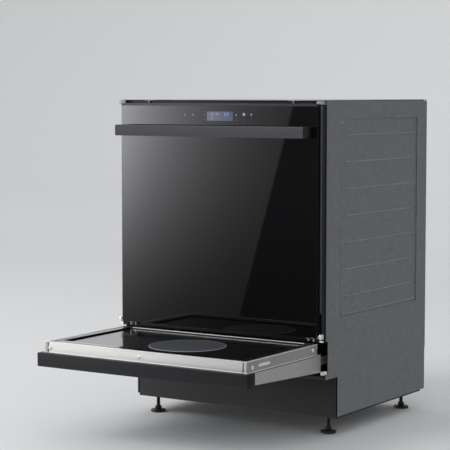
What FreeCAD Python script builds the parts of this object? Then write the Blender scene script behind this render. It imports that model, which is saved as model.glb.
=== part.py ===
import FreeCAD
import Part
import os
from math import cos, pi, sin

V = FreeCAD.Vector

# Built-in dishwasher with a drop-down glass door and a shallow warming drawer under it.
# Millimetres. X runs to the right, Z up. The parts are drawn with y = 0 on the face of
# the door glass and y growing to the rear; save() then moves the origin under the middle
# of the whole box. The drawer is drawn pulled out, the door closed.

# Driving dimensions
body_width = 598.0
body_height = 815.0
body_depth = 554.0
drawer_reach = 326.0
sheet = 1.0
half_body = body_width / 2
origin_shift = (drawer_reach - body_depth) / 2

# Door
glass_width = 572.0
glass_thickness = 4.0
door_top = body_height - 9.0
door_bottom = 250.0
trim_height = 5.0
half_glass = glass_width / 2
carrier_front = glass_thickness
carrier_edge = carrier_front + 3.0
carrier_back = 13.5
plug_half = 262.0
plug_bottom = 262.0
plug_top = door_top - 18.0
plug_back = 55.0

# Hinge line, low behind the glass, so that the open door clears the drawer
pivot_y = 9.5
pivot_z = door_bottom + 2.0
shaft_radius = 2.5
running_gap = 0.05
lever_length = 40.0

# Front frame and tub
frame_face = 14.0
rail_face = 22.0
frame_sheet = 1.5
tub_half = 278.0
tub_top = 796.0
tub_rear = 515.0
tub_floor_front = 257.0
tub_floor_rear = 247.0
floor_break = 345.0
lug_x = 211.0
lug_hole_y = 36.0
lug_hole_radius = 2.25

# Drawer
slot_top = 238.5
slot_bottom = 150.0
fascia_bottom = 177.0
fascia_top = 210.0
fascia_depth = 32.0
tray_top = 236.4
tray_half = 287.3
tray_front = -drawer_reach + 16.0
tray_rear = 3.0
rail_width = 4.0
plate_top = 232.6
plate_thickness = 4.0
disc_x = 27.1
disc_y = -162.4
disc_height = 0.6
disc_radius = 93.2
border_inner = 260.0
border_front = -276.0
screw_radius = 4.8
arm_face = 287.0
arm_rear = 20.0

# Wash system
sump_y = 430.0
sump_radius = 70.0
arm_hub_y = 300.0
pump_axis_z = 200.0
rack_half = 258.0
rack_front = 103.0
rack_rear = 487.0
wire = 4.0
lower_rack_floor = 290.0
lower_rack_height = 105.0
upper_rack_floor = 525.0
upper_rack_height = 115.0
dock_z = 515.0
wheel_radius = 13.0
spindle_radius = 5.0
ledge_top = 268.0


def box(x, y, z):
    return Part.makeBox(x[1] - x[0], y[1] - y[0], z[1] - z[0], V(x[0], y[0], z[0]))


def rod(start, end, radius):
    span = V(*end) - V(*start)
    return Part.makeCylinder(radius, span.Length, V(*start), span)


def pipe(start, end, outer, inner):
    return rod(start, end, outer).cut(rod(start, end, inner))


def join(shapes):
    whole = shapes[0]
    if len(shapes) > 1:
        whole = shapes[0].multiFuse(shapes[1:])
    return whole.removeSplitter()


def minus(shape, tools):
    for tool in tools:
        shape = shape.cut(tool)
    return shape


def mirrored(shape):
    return shape.mirror(V(0, 0, 0), V(1, 0, 0))


def pair(shapes):
    return list(shapes) + [mirrored(shape) for shape in shapes]


def side_profile(points, x):
    # closed outline in the YZ plane, given thickness from x[0] to x[1]
    corners = [V(x[0], y, z) for y, z in points]
    face = Part.Face(Part.makePolygon(corners + corners[:1]))
    return face.extrude(V(x[1] - x[0], 0, 0))


def plan_profile(points, z):
    # closed outline in the XY plane, given height from z[0] to z[1]
    corners = [V(x, y, z[0]) for x, y in points]
    face = Part.Face(Part.makePolygon(corners + corners[:1]))
    return face.extrude(V(0, 0, z[1] - z[0]))


def rectangle(origin, along, up, width, height):
    corners = [origin, origin + along * width, origin + along * width + up * height, origin + up * height]
    return Part.makePolygon(corners + corners[:1])


def grille(origin, along, up, width, height, columns, rows, bar, thickness):
    # flat mesh panel: one holed face, so that its bars are welded where they cross
    wires = [rectangle(origin, along, up, width, height)]
    step_a = (width - bar) / columns
    step_b = (height - bar) / rows
    for column in range(columns):
        for row in range(rows):
            corner = origin + along * (bar + column * step_a) + up * (bar + row * step_b)
            wires.append(rectangle(corner, along, up, step_a - bar, step_b - bar))
    face = Part.makeFace(wires, "Part::FaceMakerBullseye")
    normal = along.cross(up)
    return face.extrude(normal * thickness)


def tine_row(origin, along, length, count, height):
    # a row of upright tines on one base wire
    up = V(0, 0, 1)
    pitch = (length - wire) / (count - 1)
    points = [origin, origin + along * length]
    for index in reversed(range(count)):
        left = along * (index * pitch)
        right = along * (index * pitch + wire)
        points += [origin + right + up * height, origin + left + up * height]
        if index > 0:
            points += [origin + left + up * wire, origin + along * ((index - 1) * pitch + wire) + up * wire]
    face = Part.Face(Part.makePolygon(points + points[:1]))
    return face.extrude(along.cross(up) * wire)


parts = {}


def save(name, shapes):
    solids = []
    for shape in shapes:
        solids += shape.Solids
    for solid in solids:
        if not solid.isValid() or solid.Volume <= 0:
            raise ValueError(name + " has a bad solid")
    moved = Part.makeCompound(solids) if len(solids) > 1 else solids[0]
    moved.translate(V(0, origin_shift, 0))
    parts[name] = moved


def side_panels():
    # left and right: sheet with a pressed field, its rear fold, the front strips above and
    # below the drawer, and a skirt set back over the base
    skin = (half_body - sheet, half_body)
    outer = box(skin, (34, 552), (148, 812))
    upper_strip = box(skin, (24, 34), (240, 812))
    lower_strip = box(skin, (24, 34), (148, slot_bottom + 10))
    skirt = box(skin, (84, 552), (50, 148))
    field_y = (90.0, 500.0)
    field_z = (290.0, 770.0)
    depth = 3.0
    pan = box((half_body - depth, half_body), field_y, field_z)
    pressed = pan.cut(box(
        (half_body - depth + sheet, half_body + 1),
        (field_y[0] + sheet, field_y[1] - sheet),
        (field_z[0] + sheet, field_z[1] - sheet),
    ))
    window = box((half_body - 2 * depth, half_body + 1), field_y, field_z)
    rear_fold = box((half_body - 14, half_body - sheet), (551, 552), (52, 810))
    return pair([join([outer.cut(window), pressed]), rear_fold, upper_strip, lower_strip, skirt])


def rear_panel():
    # flat sheet with a pressed field
    field_x = 230.0
    field_z = (300.0, 760.0)
    depth = 3.0
    outer = box((-half_body, half_body), (body_depth - sheet, body_depth), (160, 812))
    pan = box((-field_x, field_x), (body_depth - depth, body_depth), field_z)
    pressed = pan.cut(box(
        (-field_x + sheet, field_x - sheet),
        (body_depth - depth + sheet, body_depth + 1),
        (field_z[0] + sheet, field_z[1] - sheet),
    ))
    window = box((-field_x, field_x), (body_depth - 9, body_depth + 1), field_z)
    return join([outer.cut(window), pressed])


def top_cover():
    plate = box((-half_body, half_body), (16, body_depth), (body_height - sheet, body_height))
    fold = box((half_body - 2.6, half_body - 1.6), (30, 540), (800, body_height - sheet))
    screw_ways = [rod((x, lug_hole_y, 800), (x, lug_hole_y, 820), lug_hole_radius) for x in (-lug_x, lug_x)]
    return [minus(plate, screw_ways), fold, mirrored(fold)]


def front_frame():
    # two stepped posts, a set-back top strip and a cross rail between door and drawer
    post = plan_profile([
        (279, frame_face), (295, frame_face), (295, rail_face + 0.5), (half_body, rail_face + 0.5),
        (half_body, 24), (293.5, 24), (293.5, frame_face + frame_sheet), (279, frame_face + frame_sheet),
    ], (slot_top, body_height - 2))
    lever_slot = box((286.2, 290.8), (frame_face - 1, frame_face + 3), (slot_top + 2, 306))
    post = post.cut(lever_slot)
    top_strip = side_profile([
        (20, 800), (21.5, 800), (21.5, 811), (60, 811), (60, 812.5), (20, 812.5),
    ], (-279, 279))
    cross_rail = side_profile([
        (rail_face, slot_top), (50, slot_top), (50, slot_top + frame_sheet),
        (rail_face + frame_sheet, slot_top + frame_sheet), (rail_face + frame_sheet, 255.5), (rail_face, 255.5),
    ], (-tub_half + 0.2, tub_half - 0.2))
    return [post, mirrored(post), top_strip, cross_rail]


def slot_floor():
    # floor of the drawer space, its front sill, and the two stands that carry the runners
    floor = box((-296, 296), (24, 548), (slot_bottom, slot_bottom + 2))
    sill = box((-half_body + 0.5, half_body - 0.5), (15, 24), (slot_bottom, slot_bottom + 8))
    stand = side_profile([(40, slot_bottom + 2), (334, slot_bottom + 2), (334, 198), (40, 198)], (272, 274))
    foot = box((256, 272), (40, 334), (slot_bottom + 2, slot_bottom + 4))
    wall = box((-270, 270), (350, 351.5), (slot_bottom + 2, 243))
    return [floor, sill, wall] + pair([stand, foot])


def tub():
    # stainless wash tub, seam-welded from sides, roof and rear, with the rack ledges, the rack
    # glides and the open keeper of the door bolt
    side = box((tub_half, tub_half + sheet), (16, tub_rear + sheet), (tub_floor_rear - sheet, tub_top))
    roof = box((-tub_half - sheet, tub_half + sheet), (22, tub_rear + sheet), (tub_top, tub_top + sheet))
    rear = box((-tub_half, tub_half), (tub_rear, tub_rear + sheet), (tub_floor_rear - sheet, tub_top))
    ledge = box((263, tub_half), (70, 505), (ledge_top - 6, ledge_top))
    glide = box((262.5, tub_half), (150, 430), (556, 562))
    keeper_z = (791, tub_top)
    keeper_side = box((7.5, 16), (28, 48), keeper_z)
    keeper_bars = [box((-7.5, 7.5), y, keeper_z) for y in ((28, 32), (42, 48))]
    return [roof, rear] + pair([side, ledge, glide, keeper_side]) + keeper_bars


def tub_floor():
    # floor of the tub, falling to the rear, with the ways to the sump and to the salt chamber
    floor = side_profile([
        (24, tub_floor_front), (floor_break, tub_floor_rear), (tub_rear, tub_floor_rear),
        (tub_rear, tub_floor_rear - sheet), (floor_break, tub_floor_rear - sheet), (24, tub_floor_front - sheet),
    ], (-tub_half, tub_half))
    return minus(floor, [
        rod((0, sump_y, 230), (0, sump_y, 270), sump_radius + 5),
        rod((-185, 440, 230), (-185, 440, 270), 34),
    ])


def door_gasket():
    # rubber seal round the tub mouth, in the two sides and the top
    seal_y = (plug_back + 0.5, plug_back + 9.5)
    upright = box((264, tub_half - 0.3), seal_y, (259, tub_top - 0.3))
    header = box((-264, 264), seal_y, (tub_top - 14, tub_top - 0.3))
    return [upright, mirrored(upright), header]


def sump():
    # moulded bowl hung under the tub floor, with the pump inlet on its right
    floor_z = 196.0
    wall = 2.5
    bowl = rod((0, sump_y, floor_z), (0, sump_y, tub_floor_rear - sheet), sump_radius)
    flange = rod((0, sump_y, 242.5), (0, sump_y, tub_floor_rear - sheet), sump_radius + 8)
    stub = rod((0, sump_y, pump_axis_z + 14), (sump_radius + 8, sump_y, pump_axis_z + 14), 14)
    hollow = rod((0, sump_y, floor_z + wall), (0, sump_y, 260), sump_radius - wall)
    bore = rod((0, sump_y, pump_axis_z + 14), (sump_radius + 10, sump_y, pump_axis_z + 14), 11.5)
    return minus(join([bowl, flange, stub]), [hollow, bore])


def fine_filter():
    # perforated steel ring over the sump, round the lift-out cup
    ring = rod((0, sump_y, tub_floor_rear), (0, sump_y, tub_floor_rear + 1.5), sump_radius + 14)
    cut = [rod((0, sump_y, 240), (0, sump_y, 260), 42)]
    for radius, count in ((52, 18), (64, 24), (76, 30)):
        for index in range(count):
            angle = 2 * pi * index / count
            at = (radius * cos(angle), sump_y + radius * sin(angle))
            cut.append(rod((at[0], at[1], 240), (at[0], at[1], 260), 2.5))
    return ring.cut(Part.makeCompound(cut))


def filter_cup():
    # lift-out coarse filter with a grip bar, turned to unlock
    wall = 2.0
    body = rod((0, sump_y, 204), (0, sump_y, 250), 40)
    rim = rod((0, sump_y, tub_floor_rear + 1.8), (0, sump_y, 251), 46)
    hollow = rod((0, sump_y, 206), (0, sump_y, 260), 40 - wall)
    grip = box((-39, 39), (sump_y - 3, sump_y + 3), (250, 264))
    windows = []
    for index in range(12):
        angle = 2 * pi * (index + 0.5) / 12
        reach = (46 * cos(angle), sump_y + 46 * sin(angle))
        windows.append(rod((0, sump_y, 220), (reach[0], reach[1], 220), 5))
    shell = minus(join([body, rim]), [hollow, Part.makeCompound(windows).common(
        pipe((0, sump_y, 200), (0, sump_y, 240), 50, 30))])
    return join([shell, grip])


def circulation_pump():
    # motor and volute lying to the right of the sump, fed through the flow heater
    eye = (112.0, sump_y, pump_axis_z)
    volute = rod((104, sump_y, pump_axis_z), (134, sump_y, pump_axis_z), 43)
    motor = rod((134, sump_y, pump_axis_z), (238, sump_y, pump_axis_z), 37)
    cap = rod((238, sump_y, pump_axis_z), (246, sump_y, pump_axis_z), 30)
    outlet = rod((119, sump_y + 30, pump_axis_z), (119, sump_y + 30, 243), 12)
    saddle = box((120, 220), (sump_y - 20, sump_y + 20), (slot_bottom + 2, pump_axis_z - 30))
    cavity = rod((108, sump_y, pump_axis_z), (130, sump_y, pump_axis_z), 38)
    inlet = rod((100, sump_y, pump_axis_z), eye, 15)
    return minus(join([volute, motor, cap, outlet, saddle]), [cavity, inlet])


def pump_impeller():
    # six-bladed wheel inside the volute
    disc = rod((126, sump_y, pump_axis_z), (128, sump_y, pump_axis_z), 32)
    hub = rod((112, sump_y, pump_axis_z), (128, sump_y, pump_axis_z), 8)
    blades = []
    for index in range(6):
        blade = box((114, 126), (sump_y + 6, sump_y + 31), (pump_axis_z - 1, pump_axis_z + 1))
        blade.rotate(V(0, sump_y, pump_axis_z), V(1, 0, 0), 60 * index)
        blades.append(blade)
    return join([disc, hub] + blades)


def flow_heater():
    # ring heater between sump and pump
    return pipe((78.5, sump_y, pump_axis_z), (103.5, sump_y, pump_axis_z), 38, 31)


def drain_pump():
    # small motor pump in the base, its pipe ending in the rear spigot
    motor = rod((100, 300, 95), (165, 300, 95), 26)
    volute = rod((165, 300, 95), (190, 300, 95), 33)
    pipe_out = rod((178, 300, 95), (178, 541, 95), 8)
    spigot = rod((178, 541, 95), (178, body_depth - 1, 95), 9.5)
    saddle = box((110, 180), (280, 320), (47, 75))
    return join([motor, volute, pipe_out, spigot, saddle])


def water_softener():
    # salt and resin tank under the rear left of the tub, its neck in the tub floor
    tank = box((-252, -100), (360, 505), (162, 240))
    tank = tank.makeFillet(14, [edge for edge in tank.Edges if edge.BoundBox.ZLength > 70])
    neck = rod((-185, 440, 230), (-185, 440, tub_floor_rear - 0.2), 33.5)
    mouth = rod((-185, 440, 200), (-185, 440, 260), 29)
    return join([tank, neck]).cut(mouth)


def salt_cap():
    # screw cap on the softener neck
    plug = rod((-185, 440, 234), (-185, 440, 250), 28.5)
    lid = rod((-185, 440, tub_floor_rear + 0.4), (-185, 440, 258), 38)
    grip = box((-217, -153), (436, 444), (258, 265))
    return join([plug, lid, grip])


def inlet_valve():
    # water valve with the threaded stub that the supply hose screws on
    block = box((-236, -184), (488, 530), (78, 122))
    coil = rod((-210, 500, 122), (-210, 500, 146), 16)
    collar = rod((-210, 530, 100), (-210, 541, 100), 18)
    stub = rod((-210, 541, 100), (-210, body_depth - 1, 100), 13.2)
    way = rod((-210, 520, 100), (-210, 560, 100), 8)
    return join([block, coil, collar, stub]).cut(way)


def mains_terminal():
    # terminal box with the gland that a mains lead enters through
    case = box((-66, -6), (498, 536), (72, 122))
    gland = rod((-36, 536, 97), (-36, body_depth - 2, 97), 11)
    room = box((-62, -10), (502, 534), (76, 118))
    way = rod((-36, 530, 97), (-36, body_depth, 97), 5.5)
    return minus(join([case, gland]), [room, way])


def fill_tank():
    # flat water-inlet chamber between tub and left side panel
    outer = box((-294.5, -281), (130, 420), (330, 700))
    ribs = [box((-294.5, -281), (130 + 58 * k, 132 + 58 * k), (350, 680)) for k in range(1, 5)]
    hollow = box((-292.5, -283), (132, 418), (332, 698))
    return join([outer.cut(hollow)] + ribs)


def feed_tube():
    # water rises in a tube on the rear wall and feeds the three spray arms
    riser_y = 503.0
    ceiling_z = 786.0
    duct = box((-15, 15), (arm_hub_y, 345.5), (253.5, 262))
    drop = box((-15, 15), (338, 345.5), (248.3, 262))
    boss = rod((0, arm_hub_y, 255), (0, arm_hub_y, 268), 17)
    post = rod((0, arm_hub_y, 268), (0, arm_hub_y, 287), 8)
    riser = rod((0, riser_y, 252), (0, riser_y, ceiling_z), 9)
    ceiling = rod((0, riser_y, ceiling_z), (0, arm_hub_y, ceiling_z), 7.5)
    hanger = rod((0, arm_hub_y, 757), (0, arm_hub_y, ceiling_z), 6)
    button = rod((0, arm_hub_y, 754), (0, arm_hub_y, 757), 10)
    dock = rod((0, riser_y, dock_z), (0, rack_rear + 4, dock_z), 8)
    floor_part = join([duct, drop, boss, post])
    return [floor_part, join([riser, ceiling, dock]), join([hanger, button])]


def spray_arm(hub_y, z, reach, bore, hub_low, hub_high):
    # two tapering blades on a hub, with a row of jets, turning about Z
    root_half = 19.0
    tip_half = 12.0
    blade = plan_profile([
        (-reach + tip_half, hub_y - tip_half), (0, hub_y - root_half), (reach - tip_half, hub_y - tip_half),
        (reach - tip_half, hub_y + tip_half), (0, hub_y + root_half), (-reach + tip_half, hub_y + tip_half),
    ], z)
    tips = [rod((side * (reach - tip_half), hub_y, z[0]), (side * (reach - tip_half), hub_y, z[1]), tip_half)
            for side in (-1, 1)]
    hub = rod((0, hub_y, hub_low), (0, hub_y, hub_high), 21)
    jets = []
    for side in (-1, 1):
        for index in range(4):
            at = (side * (50 + index * (reach - 70) / 3), hub_y + side * 4)
            jets.append(rod((at[0], at[1], z[1] - 1), (at[0], at[1], z[1] + 2), 4))
    arm = join([blade, hub] + tips + jets)
    return arm.cut(rod((0, hub_y, hub_low - 1), (0, hub_y, hub_high + 3), bore))


def rack(floor_z, height, columns, rows):
    # wire basket: a floor mesh and four wall meshes, welded along their edges
    depth = rack_rear - rack_front
    x_axis = V(1, 0, 0)
    y_axis = V(0, 1, 0)
    up = V(0, 0, 1)
    floor = grille(V(-rack_half, rack_front, floor_z), x_axis, y_axis, 2 * rack_half, depth, columns, rows,
                   wire, wire)
    lift = floor_z + wire
    wall_height = height - wire
    side = grille(V(rack_half, rack_front, lift), y_axis, up, depth, wall_height, rows, 2, wire, -wire)
    front = grille(V(-rack_half + wire, rack_front + wire, lift), x_axis, up, 2 * (rack_half - wire),
                   wall_height, columns, 2, wire, wire)
    rear = grille(V(-rack_half + wire, rack_rear, lift), x_axis, up, 2 * (rack_half - wire),
                  wall_height, columns, 2, wire, wire)
    return [floor, side, mirrored(side), front, rear]


def lower_rack():
    solids = rack(lower_rack_floor, lower_rack_height, 16, 12)
    base = lower_rack_floor + wire
    for x in (-200, -120, -40, 40):
        solids.append(tine_row(V(x, 130, base), V(0, 1, 0), 330, 12, 52))
    for y in (150.0, 440.0):
        hanger = box((rack_half, rack_half + 3), (y - 14, y + 14), (273, lower_rack_floor + 20))
        axle = rod((rack_half + 3, y, 281.4), (275.5, y, 281.4), 3)
        bracket = join([hanger, axle])
        solids += [bracket, mirrored(bracket)]
    return solids


def wheel_pair(y):
    wheel = pipe((264, y, 281.4), (274, y, 281.4), wheel_radius, 3 + running_gap)
    groove = pipe((267, y, 281.4), (271, y, 281.4), wheel_radius + 1, wheel_radius - 1.5)
    wheel = wheel.cut(groove)
    return [wheel, mirrored(wheel)]


def upper_rack():
    solids = rack(upper_rack_floor, upper_rack_height, 16, 12)
    base = upper_rack_floor + wire
    for x in (-130, -60, 60, 130):
        solids.append(tine_row(V(x, 130, base), V(0, 1, 0), 330, 10, 36))
    runner = box((rack_half, 275), (110, 480), (562.4, 568))
    feed = join([
        rod((0, arm_hub_y, dock_z), (0, rack_rear - 6, dock_z), 7),
        rod((0, arm_hub_y, 507), (0, arm_hub_y, upper_rack_floor - 0.2), 9),
        rod((0, arm_hub_y, 494), (0, arm_hub_y, 507), 6),
        rod((0, arm_hub_y, 491), (0, arm_hub_y, 494), 10),
    ])
    return solids + [runner, mirrored(runner), feed]


def cutlery_basket():
    # open plastic basket standing in the front right of the lower rack
    x0, x1 = 122.0, 246.0
    y0, y1 = 114.0, 190.0
    low = lower_rack_floor + wire + 0.4
    high = low + 120
    bar = 3.0
    x_axis = V(1, 0, 0)
    y_axis = V(0, 1, 0)
    up = V(0, 0, 1)
    floor = grille(V(x0, y0, low), x_axis, y_axis, x1 - x0, y1 - y0, 10, 6, bar, bar)
    sides = [grille(V(x, y0, low + bar), y_axis, up, y1 - y0, high - low - bar, 5, 7, bar, bar)
             for x in (x0, x1 - bar)]
    ends = [grille(V(x0 + bar, y, low + bar), x_axis, up, x1 - x0 - 2 * bar, high - low - bar, 8, 7, bar, bar)
            for y in (y0 + bar, y1)]
    middle = (y0 + y1) / 2
    handle = box((x0 + bar, x1 - bar), (middle - 4, middle + 4), (high - 6, high))
    return [floor, handle] + sides + ends


def hinge_bracket():
    # inverted U on the cross rail that holds the inner shaft end, the outer bearing block on
    # the post, its lower clip, and the anchor of the door spring
    ears = []
    for x in (253.5, 268.0):
        nose = rod((x, pivot_y, pivot_z), (x + 2.5, pivot_y, pivot_z), 4.8)
        neck = box((x, x + 2.5), (pivot_y, rail_face), (pivot_z - 4.8, pivot_z + 4.8))
        drop = box((x, x + 2.5), (14.5, rail_face), (slot_top + 1.5, pivot_z))
        ears.append(join([nose, neck, drop]))
    web = box((253.5, 270.5), (15.5, rail_face), (pivot_z + 2.3, pivot_z + 4.8))
    hole = rod((250, pivot_y, pivot_z), (300, pivot_y, pivot_z), shaft_radius + running_gap)
    inner = join(ears + [web]).cut(hole)
    block = box((291.5, 298), (4.5, frame_face), (pivot_z - 4.5, pivot_z + 7)).cut(hole)
    clip = box((289, 298), (10.5, frame_face), (slot_top + 1, slot_top + 5))
    anchor = box((tub_half + sheet, 293), (238, 241), (244, 260))
    return [inner, block, clip, anchor]


def door_spring():
    # tension spring from the lever eye to the anchor beside the tub; stretches as the door opens
    eye_y = pivot_y + lever_length
    coil = pipe((288.5, 66, pivot_z), (288.5, 226, pivot_z), 5, 3.2)
    front_hook = rod((288.5, eye_y + 5, pivot_z), (288.5, 66, pivot_z), 1.2)
    rear_hook = rod((288.5, 226, pivot_z), (288.5, 237.5, pivot_z), 1.2)
    caps = [rod((288.5, y, pivot_z), (288.5, y + 2, pivot_z), 4.5) for y in (66, 224)]
    return join([coil, front_hook, rear_hook] + caps)


def hinge_arm():
    # strap screwed behind the glass carrier, its shaft, and the lever that pulls the spring
    barrel = rod((257, pivot_y, pivot_z), (267, pivot_y, pivot_z), 4.4)
    strap = box((257, 267), (carrier_edge + 0.2, carrier_edge + 3.2), (pivot_z, 330))
    shaft = rod((251.5, pivot_y, pivot_z), (298, pivot_y, pivot_z), shaft_radius)
    eye_y = pivot_y + lever_length
    lever = join([
        rod((287, pivot_y, pivot_z), (290, pivot_y, pivot_z), 4.9),
        box((287, 290), (pivot_y, eye_y), (pivot_z - 4, pivot_z + 4)),
        rod((287, eye_y, pivot_z), (290, eye_y, pivot_z), 4.4),
    ])
    return join([barrel, strap, shaft, lever])


def fixing_brackets():
    # lugs that screw up into the worktop, and side straps that screw into the cabinets
    lug = join([
        box((-213, -209), (16, 20), (806, body_height - sheet)),
        box((-225, -197), (16, 48), (body_height - 2.2, body_height - sheet)),
    ])
    lug = lug.cut(rod((-lug_x, lug_hole_y, 800), (-lug_x, lug_hole_y, 820), lug_hole_radius))
    strap = join([
        box((279, half_body), (9.5, 11), (804.5, 812)),
        box((half_body - 1.5, half_body), (9.5, 22.3), (804.5, 812)),
    ]).cut(rod((290, 17.5, 808.25), (300, 17.5, 808.25), lug_hole_radius))
    tie = box((279, 290), (11, frame_face), (806, 810.5))
    strap = join([strap, tie])
    return [lug, mirrored(lug), strap, mirrored(strap)]


def base_tray():
    # moulded tray on the feet that holds the drain pump, valve and terminal box
    outer = box((-294, 294), (84, 540), (44, slot_bottom))
    room = box((-291, 291), (87, 537), (47, slot_bottom + 1))
    ports = [
        rod((178, 530, 95), (178, 545, 95), 10),
        rod((-210, 530, 100), (-210, 545, 100), 18.3),
        rod((-36, 530, 97), (-36, 545, 97), 11.3),
    ]
    bosses = []
    cores = []
    for x in (-255, 255):
        for y in (115, 505):
            bosses.append(rod((x, y, 44), (x, y, 66), 13))
            cores.append(rod((x, y, 40), (x, y, 70), spindle_radius + 0.1))
    return minus(join([minus(outer, [room] + ports)] + bosses), cores)


def levelling_feet():
    feet = []
    for x in (-255, 255):
        for y in (115, 505):
            pad = rod((x, y, 0), (x, y, 8), 20)
            nut = rod((x, y, 8), (x, y, 16), 9)
            spindle = rod((x, y, 16), (x, y, 72), spindle_radius)
            feet.append(join([pad, nut, spindle]))
    return feet


def glass_panel():
    pane = box((-half_glass, half_glass), (0, glass_thickness), (door_bottom, door_top - trim_height))
    front = [edge for edge in pane.Edges if edge.BoundBox.YMax < 0.01]
    return pane.makeChamfer(0.6, front)


def door_trim():
    return box((-half_glass, half_glass), (0.6, carrier_edge), (door_top - trim_height, door_top))


def door_carrier():
    # frame of folded members behind the glass; corners are left open for the hinges
    low = pivot_z + 0.5
    high = door_top - trim_height
    inner_low = 275.0
    inner_high = high - 6
    stile = box((plug_half, half_glass), (carrier_front, carrier_edge), (low, high))
    back = box((plug_half, 270), (carrier_edge, carrier_back), (334, inner_high))
    hinge_room = box((251, 273), (3, 15), (low - 1, plug_bottom))
    rails = [
        box((-plug_half, plug_half), (carrier_front, carrier_edge), (low, inner_low)),
        box((-plug_half, plug_half), (carrier_front, carrier_edge), (inner_high, high)),
    ]
    stile = join([stile, back]).cut(hinge_room)
    lower_rail = minus(rails[0], [hinge_room, mirrored(hinge_room)])
    return [stile, mirrored(stile), lower_rail, rails[1]]


def door_liner():
    # pressed steel inner door that plugs the tub mouth, with the dispenser window
    outer = box((-plug_half, plug_half), (carrier_edge + 0.2, plug_back), (plug_bottom, plug_top))
    hollow = box((-plug_half + sheet, plug_half - sheet), (carrier_edge - 1, plug_back - sheet),
                 (plug_bottom + sheet, plug_top - sheet))
    window = box((-80, 80), (plug_back - 5, plug_back + 5), (460, 600))
    strap_room = box((256, 268), (6, 12), (260, 333))
    bolt_way = box((-6.5, 6.5), (33, 41), (plug_top - 5, plug_top + 5))
    return minus(outer, [hollow, window, strap_room, mirrored(strap_room), bolt_way])


def door_insulation():
    slab = box((-255, 255), (40, plug_back - sheet - 0.2), (270, 735))
    return slab.cut(box((-84, 84), (30, 60), (456, 604)))


def control_board():
    # board behind the touch strip, with the display module against the glass
    board = box((-150, 150), (10, 11.6), (750, 786.5))
    display = join([
        box((-27, 52), (carrier_front + 0.1, carrier_edge), (761, 789)),
        box((-27, 52), (carrier_edge, 10), (761, 786)),
    ])
    relays = [box((x, x + 18), (11.6, 27), (757, 777)) for x in (-120, -90, 80)]
    strut = [box((x, x + 6), (11.6, plug_back - sheet), (778, 784)) for x in (-146, 140)]
    return join([board, display] + relays + strut)


def dispenser_body():
    case = box((-80, 80), (32, plug_back + 2), (460, 600))
    chamber = box((-71, -9), (36, plug_back + 3), (474, 542))
    refill = rod((20, 40, 574), (20, plug_back + 3, 574), 12)
    return minus(case, [chamber, refill])


def dispenser_lid():
    lid = box((-75, -4), (plug_back + 2.4, plug_back + 4.4), (469, 547))
    grip = box((-12, -7), (plug_back + 4.4, plug_back + 5.6), (480, 536))
    return join([lid, grip])


def rinse_cap():
    plug = rod((20, 44, 574), (20, plug_back + 2.4, 574), 11.6)
    cap = rod((20, plug_back + 2.4, 574), (20, plug_back + 4.4, 574), 15)
    grip = box((8, 32), (plug_back + 4.4, plug_back + 5.4), (572, 576))
    return join([plug, cap, grip])


def latch_bolt():
    return box((-6, 6), (33.5, 40.5), (770, plug_top))


def handle_bar():
    bar = box((-273, 273), (-45, -34), (725.5, 752.7))
    return bar.makeChamfer(0.8, [edge for edge in bar.Edges if edge.BoundBox.XLength > 500])


def handle_posts():
    post = box((253, 273), (-34, 0), (725.5, 752.7))
    return [post, mirrored(post)]


def drawer_fascia():
    # box front glued up from a face, a back and four edge strips
    skin = 3.0
    front = -drawer_reach
    back = front + fascia_depth
    z = (fascia_bottom, fascia_top)
    inner_y = (front + skin, back - skin)
    face = box((-half_body, half_body), (front, front + skin), z)
    rear = box((-half_body, half_body), (back - skin, back), z)
    low = box((-half_body, half_body), inner_y, (z[0], z[0] + skin))
    high = box((-half_body, half_body), inner_y, (z[1] - skin, z[1]))
    end = box((half_body - skin, half_body), inner_y, (z[0] + skin, z[1] - skin))
    return [face, rear, low, high, end, mirrored(end)]


def tray_frame():
    # steel rim of the drawer: a front rail between two corner-wrapping sides, a rear rail, and
    # a small ribbed plate on each side
    low = fascia_top
    lip = 1.2
    seam = 278.8
    inner = tray_half - rail_width
    front = join([
        box((-seam + 1.6, seam - 1.6), (tray_front, tray_front + rail_width), (low, tray_top)),
        box((-seam + 1.6, seam - 1.6), (tray_front - 1.5, tray_front), (tray_top - lip, tray_top)),
        box((-seam + 1.6, seam - 1.6), (tray_front - 2.5, tray_front), (low, low + lip)),
    ])
    side = join([
        box((inner, tray_half), (tray_front, tray_rear), (low, tray_top)),
        box((tray_half, tray_half + lip), (tray_front - 1.5, tray_rear), (tray_top - lip, tray_top)),
        box((tray_half, tray_half + 2.2), (tray_front - 2.5, tray_rear), (low, low + lip)),
        box((seam, tray_half), (tray_front, tray_front + rail_width), (low, tray_top)),
        box((seam, tray_half), (tray_front - 1.5, tray_front), (tray_top - lip, tray_top)),
        box((seam, tray_half), (tray_front - 2.5, tray_front), (low, low + lip)),
    ])
    rear = box((-inner, inner), (tray_rear - rail_width, tray_rear), (low + 2, tray_top))
    side_plate = box((tray_half, tray_half + 1.0), (-262, -214), (219, 226))
    ribs = [box((tray_half + 1.0, tray_half + 1.8), (y, y + 2), (219.8, 225.2)) for y in range(-260, -216, 4)]
    side_plate = join([side_plate] + ribs)
    return [front, rear] + pair([side, side_plate])


def tray_pan():
    # pan under the plate, hung inside the rim
    half = 276.5
    y = (-drawer_reach + fascia_depth + 0.5, tray_rear - rail_width - 0.3)
    outer = box((-half, half), y, (203, plate_top - plate_thickness))
    hollow = box((-half + sheet, half - sheet), (y[0] + sheet, y[1] - sheet), (203 + sheet, plate_top))
    return outer.cut(hollow)


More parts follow.
